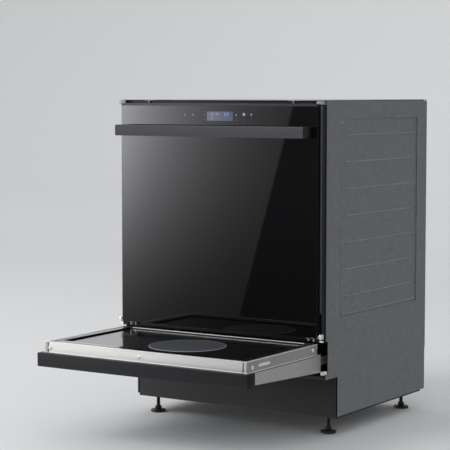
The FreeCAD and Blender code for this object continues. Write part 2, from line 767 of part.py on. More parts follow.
def tray_border():
    # black glass border bonded on the plate, almost flush with the rim; its pieces leave the
    # shallow recess between them
    half = tray_half - rail_width - 0.5
    y = (tray_front + rail_width + 0.5, tray_rear - rail_width - 0.5)
    z = (plate_top, tray_top - 0.2)
    side = box((border_inner, half), y, z)
    front = box((-border_inner, border_inner), (y[0], border_front), z)
    return [side, mirrored(side), front]


def warming_plate():
    half = tray_half - rail_width - 0.5
    y = (tray_front + rail_width + 0.5, tray_rear - rail_width - 0.5)
    return box((-half, half), y, (plate_top - plate_thickness, plate_top))


def zone_disc():
    top = plate_top + disc_height
    disc = rod((disc_x, disc_y, plate_top), (disc_x, disc_y, top), disc_radius)
    return disc.makeChamfer(0.4, [edge for edge in disc.Edges if edge.BoundBox.ZMin > top - 0.1])


def warming_heater():
    # flat heating element under the plate
    top = plate_top - plate_thickness
    return box((-200, 200), (-280, -35), (top - 3, top))


def drawer_arm():
    # tapering side arm under the rim, that carries the tray on the runners
    front = -drawer_reach + fascia_depth
    top = fascia_top
    web = side_profile([(front, top), (arm_rear, top), (arm_rear, 166), (front, 180)], (285, arm_face))
    flange = box((277, 285), (front, tray_rear), (top - 1.5, top))
    lower = side_profile([(front, 181.5), (front, 180), (arm_rear, 166), (arm_rear, 167.5)], (283.5, 285))
    fold = box((arm_face, arm_face + 1.2), (front, front + 6), (180, top))
    return join([web, flange, lower, fold])


def runner_channel(x_web, x_tip, y, z, wall=1.2):
    # one member of the telescopic runner, a channel on its side
    web = box((min(x_web, x_web + wall), x_web + wall), y, z)
    low = box((min(x_web, x_tip), max(x_web + wall, x_tip)), y, (z[0], z[0] + wall))
    high = box((min(x_web, x_tip), max(x_web + wall, x_tip)), y, (z[1] - wall, z[1]))
    return join([web, low, high])


def runner_fixed():
    return pair([runner_channel(274, 279, (36, 336), (181, 200))])


def runner_middle():
    half_way = drawer_reach / 2
    return pair([runner_channel(276.4, 282.6, (36 - half_way, 336 - half_way), (183.4, 197.6))])


def runner_inner():
    y = (36 - drawer_reach, 336 - drawer_reach)
    return pair([runner_channel(283.8, 279.2, y, (185.8, 195.2))])


def slot_guides():
    # pale glide blocks in the lower front corners of the drawer space
    return pair([box((288.5, 297.5), (15, 33), (slot_bottom + 10, slot_bottom + 18))])


def domed_screw(centre, direction, radius, height):
    sphere_radius = (radius * radius + height * height) / (2 * height)
    axis = V(*direction)
    middle = V(*centre) + axis * (height - sphere_radius)
    ball = Part.makeSphere(sphere_radius, middle)
    return ball.common(Part.makeCylinder(radius, height, V(*centre), axis))


def tray_screws():
    front = tray_front
    side = tray_half
    dome = 0.5
    screws = [domed_screw((x, front, 221), (0, -1, 0), screw_radius, dome * screw_radius) for x in (-272, -9)]
    for sign in (-1, 1):
        for y, z, radius in ((-287.5, 220.5, screw_radius), (-17.5, 224, screw_radius), (-1.5, 229, 1.6)):
            screws.append(domed_screw((sign * side, y, z), (sign, 0, 0), radius, dome * radius))
    return screws


def build():
    save("base_tray", [base_tray()])
    save("levelling_feet", levelling_feet())
    save("side_panels", side_panels())
    save("rear_panel", [rear_panel()])
    save("top_cover", top_cover())
    save("front_frame", front_frame())
    save("slot_floor", slot_floor())
    save("tub", tub())
    save("tub_floor", [tub_floor()])
    save("door_gasket", door_gasket())
    save("sump", [sump()])
    save("fine_filter", [fine_filter()])
    save("filter_cup", [filter_cup()])
    save("circulation_pump", [circulation_pump()])
    save("pump_impeller", [pump_impeller()])
    save("flow_heater", [flow_heater()])
    save("drain_pump", [drain_pump()])
    save("water_softener", [water_softener()])
    save("salt_cap", [salt_cap()])
    save("inlet_valve", [inlet_valve()])
    save("mains_terminal", [mains_terminal()])
    save("fill_tank", [fill_tank()])
    save("feed_tube", feed_tube())
    save("lower_spray_arm", [spray_arm(arm_hub_y, (270.5, 281), 188, 8.4, 268.5, 285)])
    save("upper_spray_arm", [spray_arm(arm_hub_y, (495, 503), 175, 6.4, 494.6, 506.4)])
    save("ceiling_spray_arm", [spray_arm(arm_hub_y, (758.5, 767), 150, 6.4, 757.6, 773)])
    save("lower_rack", lower_rack())
    save("lower_wheels_front", wheel_pair(150.0))
    save("lower_wheels_rear", wheel_pair(440.0))
    save("cutlery_basket", cutlery_basket())
    save("upper_rack", upper_rack())
    save("hinge_brackets", pair(hinge_bracket()))
    save("door_springs", pair([door_spring()]))
    save("hinge_arms", pair([hinge_arm()]))
    save("fixing_brackets", fixing_brackets())
    save("glass_panel", [glass_panel()])
    save("door_trim", [door_trim()])
    save("door_carrier", door_carrier())
    save("door_liner", [door_liner()])
    save("door_insulation", [door_insulation()])
    save("control_board", [control_board()])
    save("dispenser_body", [dispenser_body()])
    save("dispenser_lid", [dispenser_lid()])
    save("rinse_cap", [rinse_cap()])
    save("latch_bolt", [latch_bolt()])
    save("handle_bar", [handle_bar()])
    save("handle_posts", handle_posts())
    save("drawer_fascia", drawer_fascia())
    save("tray_frame", tray_frame())
    save("tray_pan", [tray_pan()])
    save("tray_border", tray_border())
    save("warming_plate", [warming_plate()])
    save("zone_disc", [zone_disc()])
    save("warming_heater", [warming_heater()])
    save("drawer_arms", pair([drawer_arm()]))
    save("runner_fixed", runner_fixed())
    save("runner_middle", runner_middle())
    save("runner_inner", runner_inner())
    save("slot_guides", slot_guides())
    save("tray_screws", tray_screws())


build()
os.makedirs("parts", exist_ok=True)
for name, shape in parts.items():
    shape.exportStep(os.path.join("parts", name + ".step"))
print(len(parts), "nodes")
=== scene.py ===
# %% [markdown]
# # A built-in dishwasher with a warming drawer
# This lesson dresses a finished CAD model: the rigid frame is loaded as it is, and each visible
# surface then gets either a better material or a finer piece that stands for the CAD solid.
# The object is a machine with a black glass door, a bar handle and, under the door, a shallow
# drawer with a steel rim and a black plate.

# %% Load the CAD frame
import bpy
import bmesh
import math
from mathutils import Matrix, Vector


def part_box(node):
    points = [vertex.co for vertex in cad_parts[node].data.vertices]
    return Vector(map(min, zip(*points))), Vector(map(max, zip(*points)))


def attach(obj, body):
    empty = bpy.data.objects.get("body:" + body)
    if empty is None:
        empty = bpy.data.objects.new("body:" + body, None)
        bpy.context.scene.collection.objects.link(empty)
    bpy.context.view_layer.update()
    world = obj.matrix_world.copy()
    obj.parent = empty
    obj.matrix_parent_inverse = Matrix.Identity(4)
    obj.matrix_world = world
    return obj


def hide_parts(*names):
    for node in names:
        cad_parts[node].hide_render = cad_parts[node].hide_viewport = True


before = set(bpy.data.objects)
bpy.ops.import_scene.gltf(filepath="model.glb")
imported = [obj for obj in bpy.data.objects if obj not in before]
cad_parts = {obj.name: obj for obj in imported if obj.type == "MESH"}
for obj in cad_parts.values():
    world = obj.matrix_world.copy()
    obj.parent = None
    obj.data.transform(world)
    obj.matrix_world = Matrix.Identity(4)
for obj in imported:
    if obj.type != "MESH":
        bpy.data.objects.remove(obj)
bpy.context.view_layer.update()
scene = bpy.context.scene

# %% [markdown]
# ## Working in millimetres from the door glass
# The CAD frame is in metres with its origin on the floor. A maker measures this machine in
# millimetres from the face of the door glass, so one helper turns such a place into a vector of
# the frame. The glass itself says where that face is.

# %% Places in millimetres
glass_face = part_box("glass_panel")[0].y


def at(x, y, z):
    return Vector((x / 1000, glass_face + y / 1000, z / 1000))


def step(x, y, z):
    return Vector((x, y, z)) / 1000


print("glass face at y =", round(glass_face, 4), "m")

# %% [markdown]
# ## One helper for every shader node
# Procedural materials are node trees. A single function adds a node, sets its plain settings and
# either links or fills its inputs, so that each material reads as a short recipe. Colours are
# written as the hex values that a colour picker shows and are turned to linear light once. One
# recipe comes back in nearly every finish: a pattern dents the surface, varies its gloss or
# blends two tones.

# %% Node and colour helpers
NOISE_RANGE = (0.3, 0.7)  # nearly all values of a noise lie in between


def tint(code):
    values = [int(code[i:i + 2], 16) / 255 for i in (1, 3, 5)]
    linear = [v / 12.92 if v <= 0.04045 else ((v + 0.055) / 1.055) ** 2.4 for v in values]
    return (*linear, 1.0)


def add(tree, kind, inputs=(), **settings):
    # inputs go by name, or as plain values in the order of the sockets; a node gives its
    # first output
    made = tree.nodes.new(kind)
    for key, value in settings.items():
        setattr(made, key, value)
    for key, value in inputs.items() if isinstance(inputs, dict) else enumerate(inputs):
        if isinstance(value, bpy.types.Node):
            value = value.outputs[0]
        if isinstance(value, bpy.types.NodeSocket):
            tree.links.new(value, made.inputs[key])
        else:
            made.inputs[key].default_value = value
    return made


def new_finish(name, **values):
    material = bpy.data.materials.new(name)
    material.use_nodes = True
    tree = material.node_tree
    shader = tree.nodes["Principled BSDF"]
    for key, value in values.items():
        socket = shader.inputs[key.replace("_", " ")]
        socket.default_value = tint(value) if isinstance(value, str) else value
    return material, tree, shader


def pattern_space(tree, scale=1):
    # object coordinates in millimetres, times one scale or one for each axis
    scales = scale if isinstance(scale, list) else [scale] * 3
    metres = add(tree, "ShaderNodeTexCoord").outputs["Object"]
    return add(tree, "ShaderNodeMapping", {"Vector": metres, "Scale": [1000 * s for s in scales]})


def texture(tree, shader, pattern, roughness=None, tones=None, depth=0, strength=0.5,
            source=NOISE_RANGE):
    # one pattern can dent the surface by depth millimetres, vary its gloss and blend two tones
    if depth:
        bump = add(tree, "ShaderNodeBump", {"Height": pattern, "Distance": depth / 1000,
                                            "Strength": strength})
        tree.links.new(bump.outputs["Normal"], shader.inputs["Normal"])
    if roughness:
        gloss = add(tree, "ShaderNodeMapRange", (pattern, *source, *roughness))
        tree.links.new(gloss.outputs["Result"], shader.inputs["Roughness"])
    if tones:
        colour = add(tree, "ShaderNodeMix", {"Factor": pattern, "A": tint(tones[0]),
                                             "B": tint(tones[1])}, data_type="RGBA")
        tree.links.new(colour.outputs["Result"], shader.inputs["Base Color"])


print("helpers for finishes are ready")

# %% [markdown]
# ## The camera of the photograph
# The camera was found by fitting the corners of glass, drawer front and tray. It stands low and
# to the right, and looks slightly down through a long lens, which keeps the verticals straight.

# %% Camera
PHOTO_WIDTH, FOCAL_LENGTH = 450, 1667.372    # pixels
SENSOR_WIDTH = 36.0                          # mm
LOOK_DOWN, LOOK_LEFT = 4.57039, 33.01828     # degrees

camera = bpy.data.objects.new("camera", bpy.data.cameras.new("camera"))
scene.collection.objects.link(camera)
camera.data.sensor_width = SENSOR_WIDTH
camera.data.lens = FOCAL_LENGTH / PHOTO_WIDTH * SENSOR_WIDTH
camera.data.clip_end = 60.0
camera.location = (2.243434, -3.523805, 0.834815)
camera.rotation_euler = (math.radians(90 - LOOK_DOWN), 0.0, math.radians(LOOK_LEFT))
scene.camera = camera
print("lens", round(camera.data.lens, 1), "mm on a 36 mm sensor")

# %% [markdown]
# ## Door glass and plate
# The door is toughened float glass, enamelled black on its rear face: the eye sees a deep black
# with a hard, clean reflection of about 4 percent head-on. Very faint noise keeps the roughness
# from being uniform, as wiped glass is. The plate of the drawer is glass ceramic, a little duller.

# %% Glass finishes
door_glass, tree, shader = new_finish("black_enamelled_float_glass", Base_Color="#0b0b0d",
                                      Roughness=0.01, IOR=1.52)
smears = add(tree, "ShaderNodeTexNoise", {"Vector": pattern_space(tree, 0.012), "Detail": 3.0})
texture(tree, shader, smears, (0.004, 0.016))

plate_glass, tree, shader = new_finish("black_glass_ceramic", Base_Color="#151516",
                                       Roughness=0.05, IOR=1.54)
fine = add(tree, "ShaderNodeTexNoise", {"Vector": pattern_space(tree, 0.02), "Detail": 4.0})
texture(tree, shader, fine, (0.09, 0.17))
print(door_glass.name, plate_glass.name)

# %% [markdown]
# ## The printed warming zone
# The round zone is fired on as a grey enamel screen of dots, a little rougher than the plate, so
# it stays pale where the plate mirrors the dark door. Dots under a tenth of a millimetre can't be
# seen here, so the screen is drawn as a soft mottling.

# %% Zone finish
zone_enamel, tree, shader = new_finish("fired_grey_zone_enamel", Base_Color="#4a4c50",
                                       Roughness=0.28, IOR=1.5)
grain = add(tree, "ShaderNodeTexNoise", {"Vector": pattern_space(tree, 0.8), "Detail": 2.0})
texture(tree, shader, grain, tones=("#44464a", "#575961"))
zone_rim = new_finish("ground_zone_rim", Base_Color="#a9abad", Roughness=0.22, IOR=1.5)[0]
print(zone_enamel.name, zone_rim.name)

# %% [markdown]
# ## Brushed metals
# Brushing drags fine scratches along the length of a part. A noise stretched 60 times along that
# direction gives them. The real ones are 0.05 mm apart; here they are drawn 0.4 mm apart, as
# coarse as they need to be to show. The same recipe serves steel and black anodised aluminium,
# with its own colour, grain direction and strength.

# %% Brushed metal recipe
SCRATCH_GAP, SCRATCH_STRETCH = 0.4, 60       # mm, and times longer than wide


def brushed(name, colour, dark, roughness, along, depth=0.02, metallic=1.0):
    material, tree, shader = new_finish(name, Base_Color=colour, Metallic=metallic,
                                        Roughness=roughness)
    scale = [1 / SCRATCH_GAP] * 3
    scale["xyz".index(along)] = 1 / (SCRATCH_STRETCH * SCRATCH_GAP)
    lines = add(tree, "ShaderNodeTexNoise", {"Vector": pattern_space(tree, scale), "Detail": 3.0,
                                             "Roughness": 0.65})
    clouds = add(tree, "ShaderNodeTexNoise", {"Vector": pattern_space(tree, 0.01)})
    contrast = add(tree, "ShaderNodeMapRange", (lines, 0.35, 0.65, 0, 1))
    texture(tree, shader, contrast, tones=(dark, colour))
    fine = add(tree, "ShaderNodeMapRange", (lines, *NOISE_RANGE, -0.05, 0.05))
    broad = add(tree, "ShaderNodeMapRange", (clouds, *NOISE_RANGE, roughness - 0.02,
                                             roughness + 0.02))
    rough = add(tree, "ShaderNodeMath", (fine, broad), operation="ADD")
    tree.links.new(rough.outputs["Value"], shader.inputs["Roughness"])
    texture(tree, shader, lines, depth=depth, strength=0.6)
    return material


# the front and rear rails take a lighter copy of the rim steel, painted light; the side rails a
# darker copy, painted shade
rim_steel_painted_light = brushed("brushed_stainless_along_width", "#fbf9f5", "#e6e3dd", 0.42, "x",
                      metallic=0.75)
rim_steel_painted_shade = brushed("brushed_stainless_along_depth", "#d8d6d2", "#c2c0bb", 0.42, "y",
                      metallic=0.85)
tub_steel = brushed("rolled_stainless_tub", "#cfd0d0", "#bfc0c0", 0.28, "z", 0.01)
door_steel = brushed("brushed_inner_door_steel", "#cfd0d0", "#bcbdbd", 0.3, "x", 0.01)
black_bar = brushed("black_anodised_aluminium_bar", "#646468", "#4e4e52", 0.42, "x", 0.015)
arm_steel = brushed("zinc_coated_arm_steel", "#e9e8e5", "#d8d7d4", 0.46, "y", 0.01, 0.85)
# the rim's lips take a near-white, half-metallic copy of the steel: a painted highlight
lip_steel = brushed("polished_lip_steel", "#ffffff", "#f6f5f2", 0.3, "x", 0.01, 0.55)
# a mid grey: on the strips in the rim's front corners it is painted shade, on the strips of the
# frame's posts a painted highlight
steel_painted_shade_and_highlight = brushed("phosphated_lip_steel", "#77787a", "#6a6b6d", 0.5, "z", 0.01, 0.6)
print("eight brushed metals")

# %% [markdown]
# ## Painted and zinc-coated sheet
# Frame and drawer front are powder-coated: a satin black with the slight orange-peel of melted
# powder, about 1 mm from bump to bump. The outer case is hot-dip galvanised sheet, whose zinc
# crystals show as patches a few millimetres wide with slightly different brightness. Small bright
# parts are zinc-plated and differ only in gloss.

# %% Sheet finishes
def powder_coat(name, colour, roughness, peel=1.2, depth=0.012, ior=1.5):
    material, tree, shader = new_finish(name, Base_Color=colour, Roughness=roughness, IOR=ior)
    bumps = add(tree, "ShaderNodeTexNoise", {"Vector": pattern_space(tree, 1 / peel),
                                             "Detail": 1.0})
    texture(tree, shader, bumps, (roughness - 0.04, roughness + 0.04), depth=depth)
    return material


frame_black = powder_coat("black_powder_coat", "#1a1a1c", 0.42)
fascia_grey = powder_coat("charcoal_satin_paint", "#17181b", 0.5, 0.9, 0.008, 1.4)

zinc_sheet, tree, shader = new_finish("galvanised_steel_sheet", Base_Color="#a3a6a8",
                                      Metallic=0.85, Roughness=0.45)
crystals = add(tree, "ShaderNodeTexVoronoi", {"Vector": pattern_space(tree, 0.12), "Scale": 1.0})
texture(tree, shader, crystals.outputs["Color"], (0.4, 0.52), ("#9b9ea0", "#adb0b2"),
        source=(0.0, 1.0))

bright_zinc, tree, shader = new_finish("bright_zinc_plating", Base_Color="#fbfbf9", Metallic=0.5,
                                       Roughness=0.24)
plating = add(tree, "ShaderNodeTexNoise", {"Vector": pattern_space(tree, 0.3), "Detail": 4.0})
texture(tree, shader, plating, (0.18, 0.34))
print(frame_black.name, fascia_grey.name, zinc_sheet.name, bright_zinc.name)

# %% [markdown]
# ## Plastics, rubber, mats and cast metal
# Moulded polypropylene has an eroded grain of about 0.5 mm. Nylon-dipped wire is smooth and
# glossy. Rubber is matt and takes a little dust. The cast pump housing and the oiled springs have
# such a grain too, on metal. Each is one call, since only colour, gloss and grain differ.

# %% Moulded and cast finishes
def moulded(name, colour, roughness, grain=0.5, depth=0.02, sheen=0.0, metallic=0.0):
    material, tree, shader = new_finish(name, Base_Color=colour, Roughness=roughness, IOR=1.5,
                                        Sheen_Weight=sheen, Metallic=metallic)
    pits = add(tree, "ShaderNodeTexNoise", {"Vector": pattern_space(tree, 1 / grain),
                                            "Detail": 2.0})
    texture(tree, shader, pits, (roughness - 0.06, roughness + 0.06), depth=depth)
    return material


base_plastic = moulded("black_polypropylene", "#1d1d1f", 0.55)
grey_plastic = moulded("grey_polypropylene", "#8b8e92", 0.48)
white_plastic = moulded("natural_white_polypropylene", "#dedcd6", 0.45)
rack_nylon = moulded("grey_nylon_dipped_wire", "#9a9da0", 0.3, 1.5, 0.01)
cap_plastic = moulded("dark_grey_polypropylene", "#4e5054", 0.4)
seal_rubber = moulded("black_epdm_rubber", "#141414", 0.7, 0.4, 0.03, 0.15)
mat_fibre = moulded("bitumen_fibre_mat", "#3a3733", 0.9, 2.0, 0.3)
board_green = moulded("solder_masked_board", "#1f4a33", 0.35, 3.0, 0.01)
cast_alloy = moulded("sand_blasted_cast_aluminium", "#8d8f92", 0.5, 0.6, 0.03, metallic=0.9)
spring_wire = moulded("oiled_spring_steel", "#5a5b5e", 0.3, 1.0, 0.005, metallic=1.0)
print("ten moulded and cast finishes")

# %% [markdown]
# ## Dressing the CAD nodes
# Most hidden nodes keep their CAD shape and only need the right finish, so a plain table from
# material to nodes does it. The pieces made further on replace some of these nodes.

# %% Materials of the CAD nodes
node_finish = {
    door_glass: "glass_panel",
    plate_glass: "warming_plate tray_border",
    zone_enamel: "zone_disc",
    rim_steel_painted_light: "tray_frame",
    tub_steel: "tub tub_floor fine_filter flow_heater",
    door_steel: "door_liner",
    black_bar: "handle_bar handle_posts door_trim",
    arm_steel: "drawer_arms runner_fixed runner_middle runner_inner hinge_arms",
    frame_black: "front_frame slot_floor door_carrier",
    fascia_grey: "drawer_fascia",
    zinc_sheet: "side_panels rear_panel top_cover tray_pan",
    bright_zinc: "fixing_brackets hinge_brackets tray_screws",
    base_plastic: "base_tray levelling_feet mains_terminal",
    grey_plastic: "sump filter_cup pump_impeller salt_cap feed_tube lower_spray_arm "
                  "upper_spray_arm ceiling_spray_arm lower_wheels_front lower_wheels_rear "
                  "cutlery_basket dispenser_body dispenser_lid rinse_cap",
    white_plastic: "drain_pump water_softener inlet_valve fill_tank latch_bolt slot_guides",
    rack_nylon: "lower_rack upper_rack",
    seal_rubber: "door_gasket",
    mat_fibre: "door_insulation warming_heater",
    board_green: "control_board",
    cast_alloy: "circulation_pump",
    spring_wire: "door_springs",
}
dressed = 0
for material, names in node_finish.items():
    for name in names.split():
        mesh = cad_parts[name].data
        mesh.materials.clear()
        mesh.materials.append(material)
        dressed += 1
print(dressed, "nodes dressed of", len(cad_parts))

# %% [markdown]
# ## Rounded edges
# No real sheet or moulding has a knife edge, and the thin bright line along an edge is what makes
# metal look like metal. A copy of a CAD mesh is merged, its flat faces are cleaned, and its sharp
# edges are bevelled. The copy then stands for the CAD node and rides on the same body.

# %% Finishing and placing a piece
def place(piece, body, slot, *nodes):
    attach(piece, body)
    if nodes:
        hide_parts(*nodes)


def finish_mesh(name, shape, material, limit=35):
    # limit: edges sharper than this many degrees stay crisp
    bmesh.ops.recalc_face_normals(shape, faces=shape.faces)
    mesh = bpy.data.meshes.new(name)
    shape.to_mesh(mesh)
    shape.free()
    mesh.materials.append(material)
    mesh.shade_smooth()
    mesh.set_sharp_from_angle(angle=math.radians(limit))
    piece = bpy.data.objects.new(name, mesh)
    scene.collection.objects.link(piece)
    return piece


def finished(name, shape, material, body, slot, *nodes):
    place(finish_mesh(name, shape, material), body, slot, *nodes)


print("pieces can be finished and placed")

# %% Rounding
MERGE, FLAT, SHARP = 1e-5, math.radians(1), math.radians(40)    # m and angles


def soften(shape, edges, radius, segments=2):
    if radius > 0:
        bmesh.ops.bevel(shape, geom=list(edges), offset=radius / 1000, segments=segments,
                        profile=0.5, affect="EDGES", clamp_overlap=True)


def rounded(node, radius, material, body, slot, segments=3, keep=None, name=None, longer=0):
    # keep: takes only faces whose middle passes this test, in millimetres from the glass
    # longer: rounds only edges of at least this many millimetres
    shape = bmesh.new()
    shape.from_mesh(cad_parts[node].data)
    bmesh.ops.remove_doubles(shape, verts=shape.verts, dist=MERGE)
    if keep is not None:
        middles = [(face, face.calc_center_median()) for face in shape.faces]
        away = [face for face, c in middles
                if not keep(c.x * 1000, (c.y - glass_face) * 1000, c.z * 1000)]
        bmesh.ops.delete(shape, geom=away, context="FACES")
    bmesh.ops.dissolve_limit(shape, angle_limit=FLAT, verts=shape.verts, edges=shape.edges)
    sharp = [edge for edge in shape.edges if edge.is_manifold
             and edge.calc_face_angle(0) > SHARP and edge.calc_length() * 1000 >= longer]
    soften(shape, sharp, radius, segments)
    finished(name or node + "_rounded", shape, material, body, slot, node)


print("edges can be rounded")

# %% [markdown]
# ## Shapes that a workshop makes
# Most parts are turned on a lathe, milled to blocks or cut from profiles. Three builders add such
# shapes to one mesh, in millimetres from the door glass, so that a part is composed as it would be
# made: turn() spins an outline of (radius, height) pairs, block() makes a box with broken edges,
# and cut_profile() gives thickness to a flat outline.

# %% Turned shapes
def around(count, radius, first=0.0):
    # places on a circle; first: how far the first one is moved, in steps
    for k in range(count):
        a = math.tau * (k + first) / count
        yield radius * math.cos(a), radius * math.sin(a)


def turn(shape, centre, outline, axis="z", steps=40, ring=False):
    # ring: the outline closes on itself, as round a bore
    rings = []
    for radius, height in outline:
        spots = [{"x": (height, a, b), "y": (a, height, b), "z": (a, b, height)}[axis]
                 for a, b in around(steps if radius > 0 else 1, radius)]
        rings.append([shape.verts.new(at(*centre) + step(*spot)) for spot in spots])
    for lower, upper in zip(rings, rings[1:] + (rings[:1] if ring else [])):
        for k in range(steps):
            corners = [lower[k % len(lower)], lower[(k + 1) % len(lower)],
                       upper[(k + 1) % len(upper)], upper[k % len(upper)]]
            shape.faces.new(list(dict.fromkeys(corners)))


print("lathe is ready")

# %% Milled and cut shapes
def solid_box(shape, low, high, radius, segments):
    made = bmesh.ops.create_cube(shape, size=1.0)["verts"]
    for vertex in made:
        vertex.co = (low + high) / 2 + Vector([vertex.co[i] * (high - low)[i] for i in range(3)])
    soften(shape, {edge for vertex in made for edge in vertex.link_edges}, radius, segments)


def block(shape, x, y, z, radius, segments=2):
    solid_box(shape, at(x[0], y[0], z[0]), at(x[1], y[1], z[1]), radius, segments)


def cut_profile(shape, outline, axis, low, high, radius=0.0):
    spots = {"x": lambda p, h: at(h, p[0], p[1]), "y": lambda p, h: at(p[0], h, p[1]),
             "z": lambda p, h: at(p[0], p[1], h)}[axis]
    first, last = [[shape.verts.new(spots(p, h)) for p in outline] for h in (low, high)]
    count = len(outline)
    faces = [shape.faces.new((first[k], first[(k + 1) % count], last[(k + 1) % count], last[k]))
             for k in range(count)] + [shape.faces.new(first), shape.faces.new(last[::-1])]
    soften(shape, {edge for face in faces for edge in face.edges}, radius)


print("mill and profile cutter are ready")

# %% [markdown]
# ## Wires and repeats grown by node trees
# Racks and beads are wire bent along a line, often many times side by side. One node tree
# turns polylines into bent round wire and repeats it in a row. A second tree puts copies of one
# small piece on given points, as a drill jig does. Both are evaluated once into plain meshes, one
# per moving body.

# %% Start and end of a tree
def grow_tree(name, sockets):
    tree = bpy.data.node_groups.new(name, "GeometryNodeTree")
    sides = [("Geometry", "INPUT", "Geometry")]
    sides += [(label, "INPUT", kind) for label, kind in sockets.items()]
    for label, side, kind in sides + [("Geometry", "OUTPUT", "Geometry")]:
        tree.interface.new_socket(label, in_out=side, socket_type="NodeSocket" + kind)
    return tree, tree.nodes.new("NodeGroupInput").outputs, tree.nodes.new("NodeGroupOutput").inputs


def end_tree(tree, given, result, instances):
    real = add(tree, "GeometryNodeRealizeInstances", {"Geometry": instances})
    smooth = add(tree, "GeometryNodeSetShadeSmooth", {"Geometry": real})
    done = add(tree, "GeometryNodeSetMaterial", {"Geometry": smooth,
                                                 "Material": given["Material"]})
    tree.links.new(done.outputs["Geometry"], result["Geometry"])


print("every tree ends in real geometry with a material")

# %% Trees for bent wire and for repeats
wire_row, given, result = grow_tree("bent_wire_row", {
    "Wire Radius": "Float", "Bend Radius": "Float", "Sides": "Int", "Count": "Int",
    "Offset": "Vector", "Material": "Material"})
line = add(wire_row, "GeometryNodeMeshToCurve", {"Mesh": given["Geometry"]})
bent = add(wire_row, "GeometryNodeFilletCurve", {
    "Curve": line, "Radius": given["Bend Radius"], "Limit Radius": True, "Count": 4}, mode="POLY")
section = add(wire_row, "GeometryNodeCurvePrimitiveCircle", {
    "Resolution": given["Sides"], "Radius": given["Wire Radius"]})
tube = add(wire_row, "GeometryNodeCurveToMesh", {
    "Curve": bent, "Profile Curve": section, "Fill Caps": True})
row = add(wire_row, "GeometryNodeMeshLine", {"Count": given["Count"], "Offset": given["Offset"]})
placed = add(wire_row, "GeometryNodeInstanceOnPoints", {"Points": row, "Instance": tube})
end_tree(wire_row, given, result, placed)

jig, given, result = grow_tree("pieces_on_points", {"Piece": "Object", "Turn": "Vector",
                                                    "Material": "Material"})
piece = add(jig, "GeometryNodeObjectInfo", {"Object": given["Piece"]})
placed = add(jig, "GeometryNodeInstanceOnPoints", {
    "Points": given["Geometry"], "Rotation": given["Turn"],
    "Instance": piece.outputs["Geometry"]})
end_tree(jig, given, result, placed)
print(len(wire_row.nodes), "and", len(jig.nodes), "nodes in the two trees")

# %% From trees to plain meshes
def grow(name, mesh, tree, **values):
    grown = bpy.data.objects.new(name, mesh)
    scene.collection.objects.link(grown)
    modifier = grown.modifiers.new("grow", "NODES")
    modifier.node_group = tree
    for item in tree.interface.items_tree:
        key = item.name.replace(" ", "_").lower()
        if item.item_type == "SOCKET" and item.in_out == "INPUT" and key in values:
            modifier[item.identifier] = values[key]
    solved = grown.evaluated_get(bpy.context.evaluated_depsgraph_get())
    plain = bpy.data.meshes.new_from_object(solved)
    grown.modifiers.clear()
    grown.data = plain
    return grown


def wires(name, lines, radius, material, bend, sides, count=1, offset=(0, 0, 0)):
    mesh = bpy.data.meshes.new(name)
    spots = [at(*spot) for path in lines for spot in path]
    starts = [sum(len(path) for path in lines[:k]) for k in range(len(lines))]
    edges = [(start + k, start + k + 1) for start, path in zip(starts, lines)
             for k in range(len(path) - 1)]
    mesh.from_pydata(spots, edges, [])
    return grow(name, mesh, wire_row, wire_radius=radius / 1000, bend_radius=bend / 1000,
                sides=sides, count=count, offset=list(step(*offset)), material=material)


def copies(name, shape, spots, material, turned=(0, 0, 0)):
    # shape is drawn round the frame's origin; its copies stand on the given places
    pattern = finish_mesh(name + "_pattern", shape, material)
    mesh = bpy.data.meshes.new(name)
    mesh.from_pydata([at(*spot) for spot in spots], [], [])
    grown = grow(name, mesh, jig, piece=pattern, turn=[math.radians(a) for a in turned],
                 material=material)
    bpy.data.objects.remove(pattern)
    return grown


ORIGIN = (0, -glass_face * 1000, 0)          # the frame's origin, in millimetres from the glass
print("wires and copies can be grown")

# %% [markdown]
# ## Handle, trim and drawer front
# The handle is an extruded bar with softly broken edges and a slightly crowned face, on two
# posts. The drawer front is a box with a 1.2 mm radius all round.

# %% Handle and drawer front
BAR_HALF, BAR_FACE, CROWN = 273, -45, 1.2    # half length, place of the face, and its bulge, mm
CROWN_LOW, CROWN_HIGH = 726.3, 752.1

bar = bmesh.new()
crown = [(BAR_FACE + CROWN * (k / 6 - 1) ** 2, CROWN_LOW + (CROWN_HIGH - CROWN_LOW) * k / 12)
         for k in range(13)]
cut_profile(bar, [(-43.6, 725.5)] + crown + [(-43.6, 752.7), (-34.4, 752.7), (-34, 752.3),
                                             (-34, 725.9), (-34.4, 725.5)],
            "x", -BAR_HALF, BAR_HALF, 0.3)
place(finish_mesh("crowned_handle_bar", bar, black_bar, limit=20), "door", "black_aluminium",
      "handle_bar")
rounded("handle_posts", 0.8, black_bar, "door", "black_aluminium")
rounded("door_trim", 0.5, black_bar, "door", "black_aluminium")
front_low, front_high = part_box("drawer_fascia")
front = bmesh.new()
solid_box(front, front_low, front_high, 1.2, 3)
finished("drawer_front_box", front, fascia_grey, "drawer", "fascia_paint", "drawer_fascia")
print("drawer front in mm:", [round(v * 1000) for v in front_high - front_low])

# %% [markdown]
# ## Touch strip
# Behind the glass lie a display and touch fields. What the eye sees are thin lit shapes, so they
# are drawn as flat prints about 0.05 mm thick on the face of the glass: a display with seven-bar
# digits and a row of plain signs with small dots under them. The digits are generic.

# %% Touch strip finishes
def lit(name, colour, strength):
    material, tree, shader = new_finish(name, Base_Color=colour, Roughness=0.3,
                                        Emission_Color=colour)
    flicker = add(tree, "ShaderNodeTexNoise", {"Vector": pattern_space(tree, 0.8), "Detail": 2.0})
    glow = add(tree, "ShaderNodeMapRange", (flicker, *NOISE_RANGE, strength * 0.8, strength * 1.2))
    tree.links.new(glow.outputs["Result"], shader.inputs["Emission Strength"])
    return material


sign_light = lit("lit_touch_sign", "#85888e", 0.42)
sign_dim = lit("dim_touch_sign", "#6c7077", 0.34)
digit_light = lit("lit_display_digit", "#9195b4", 0.5)

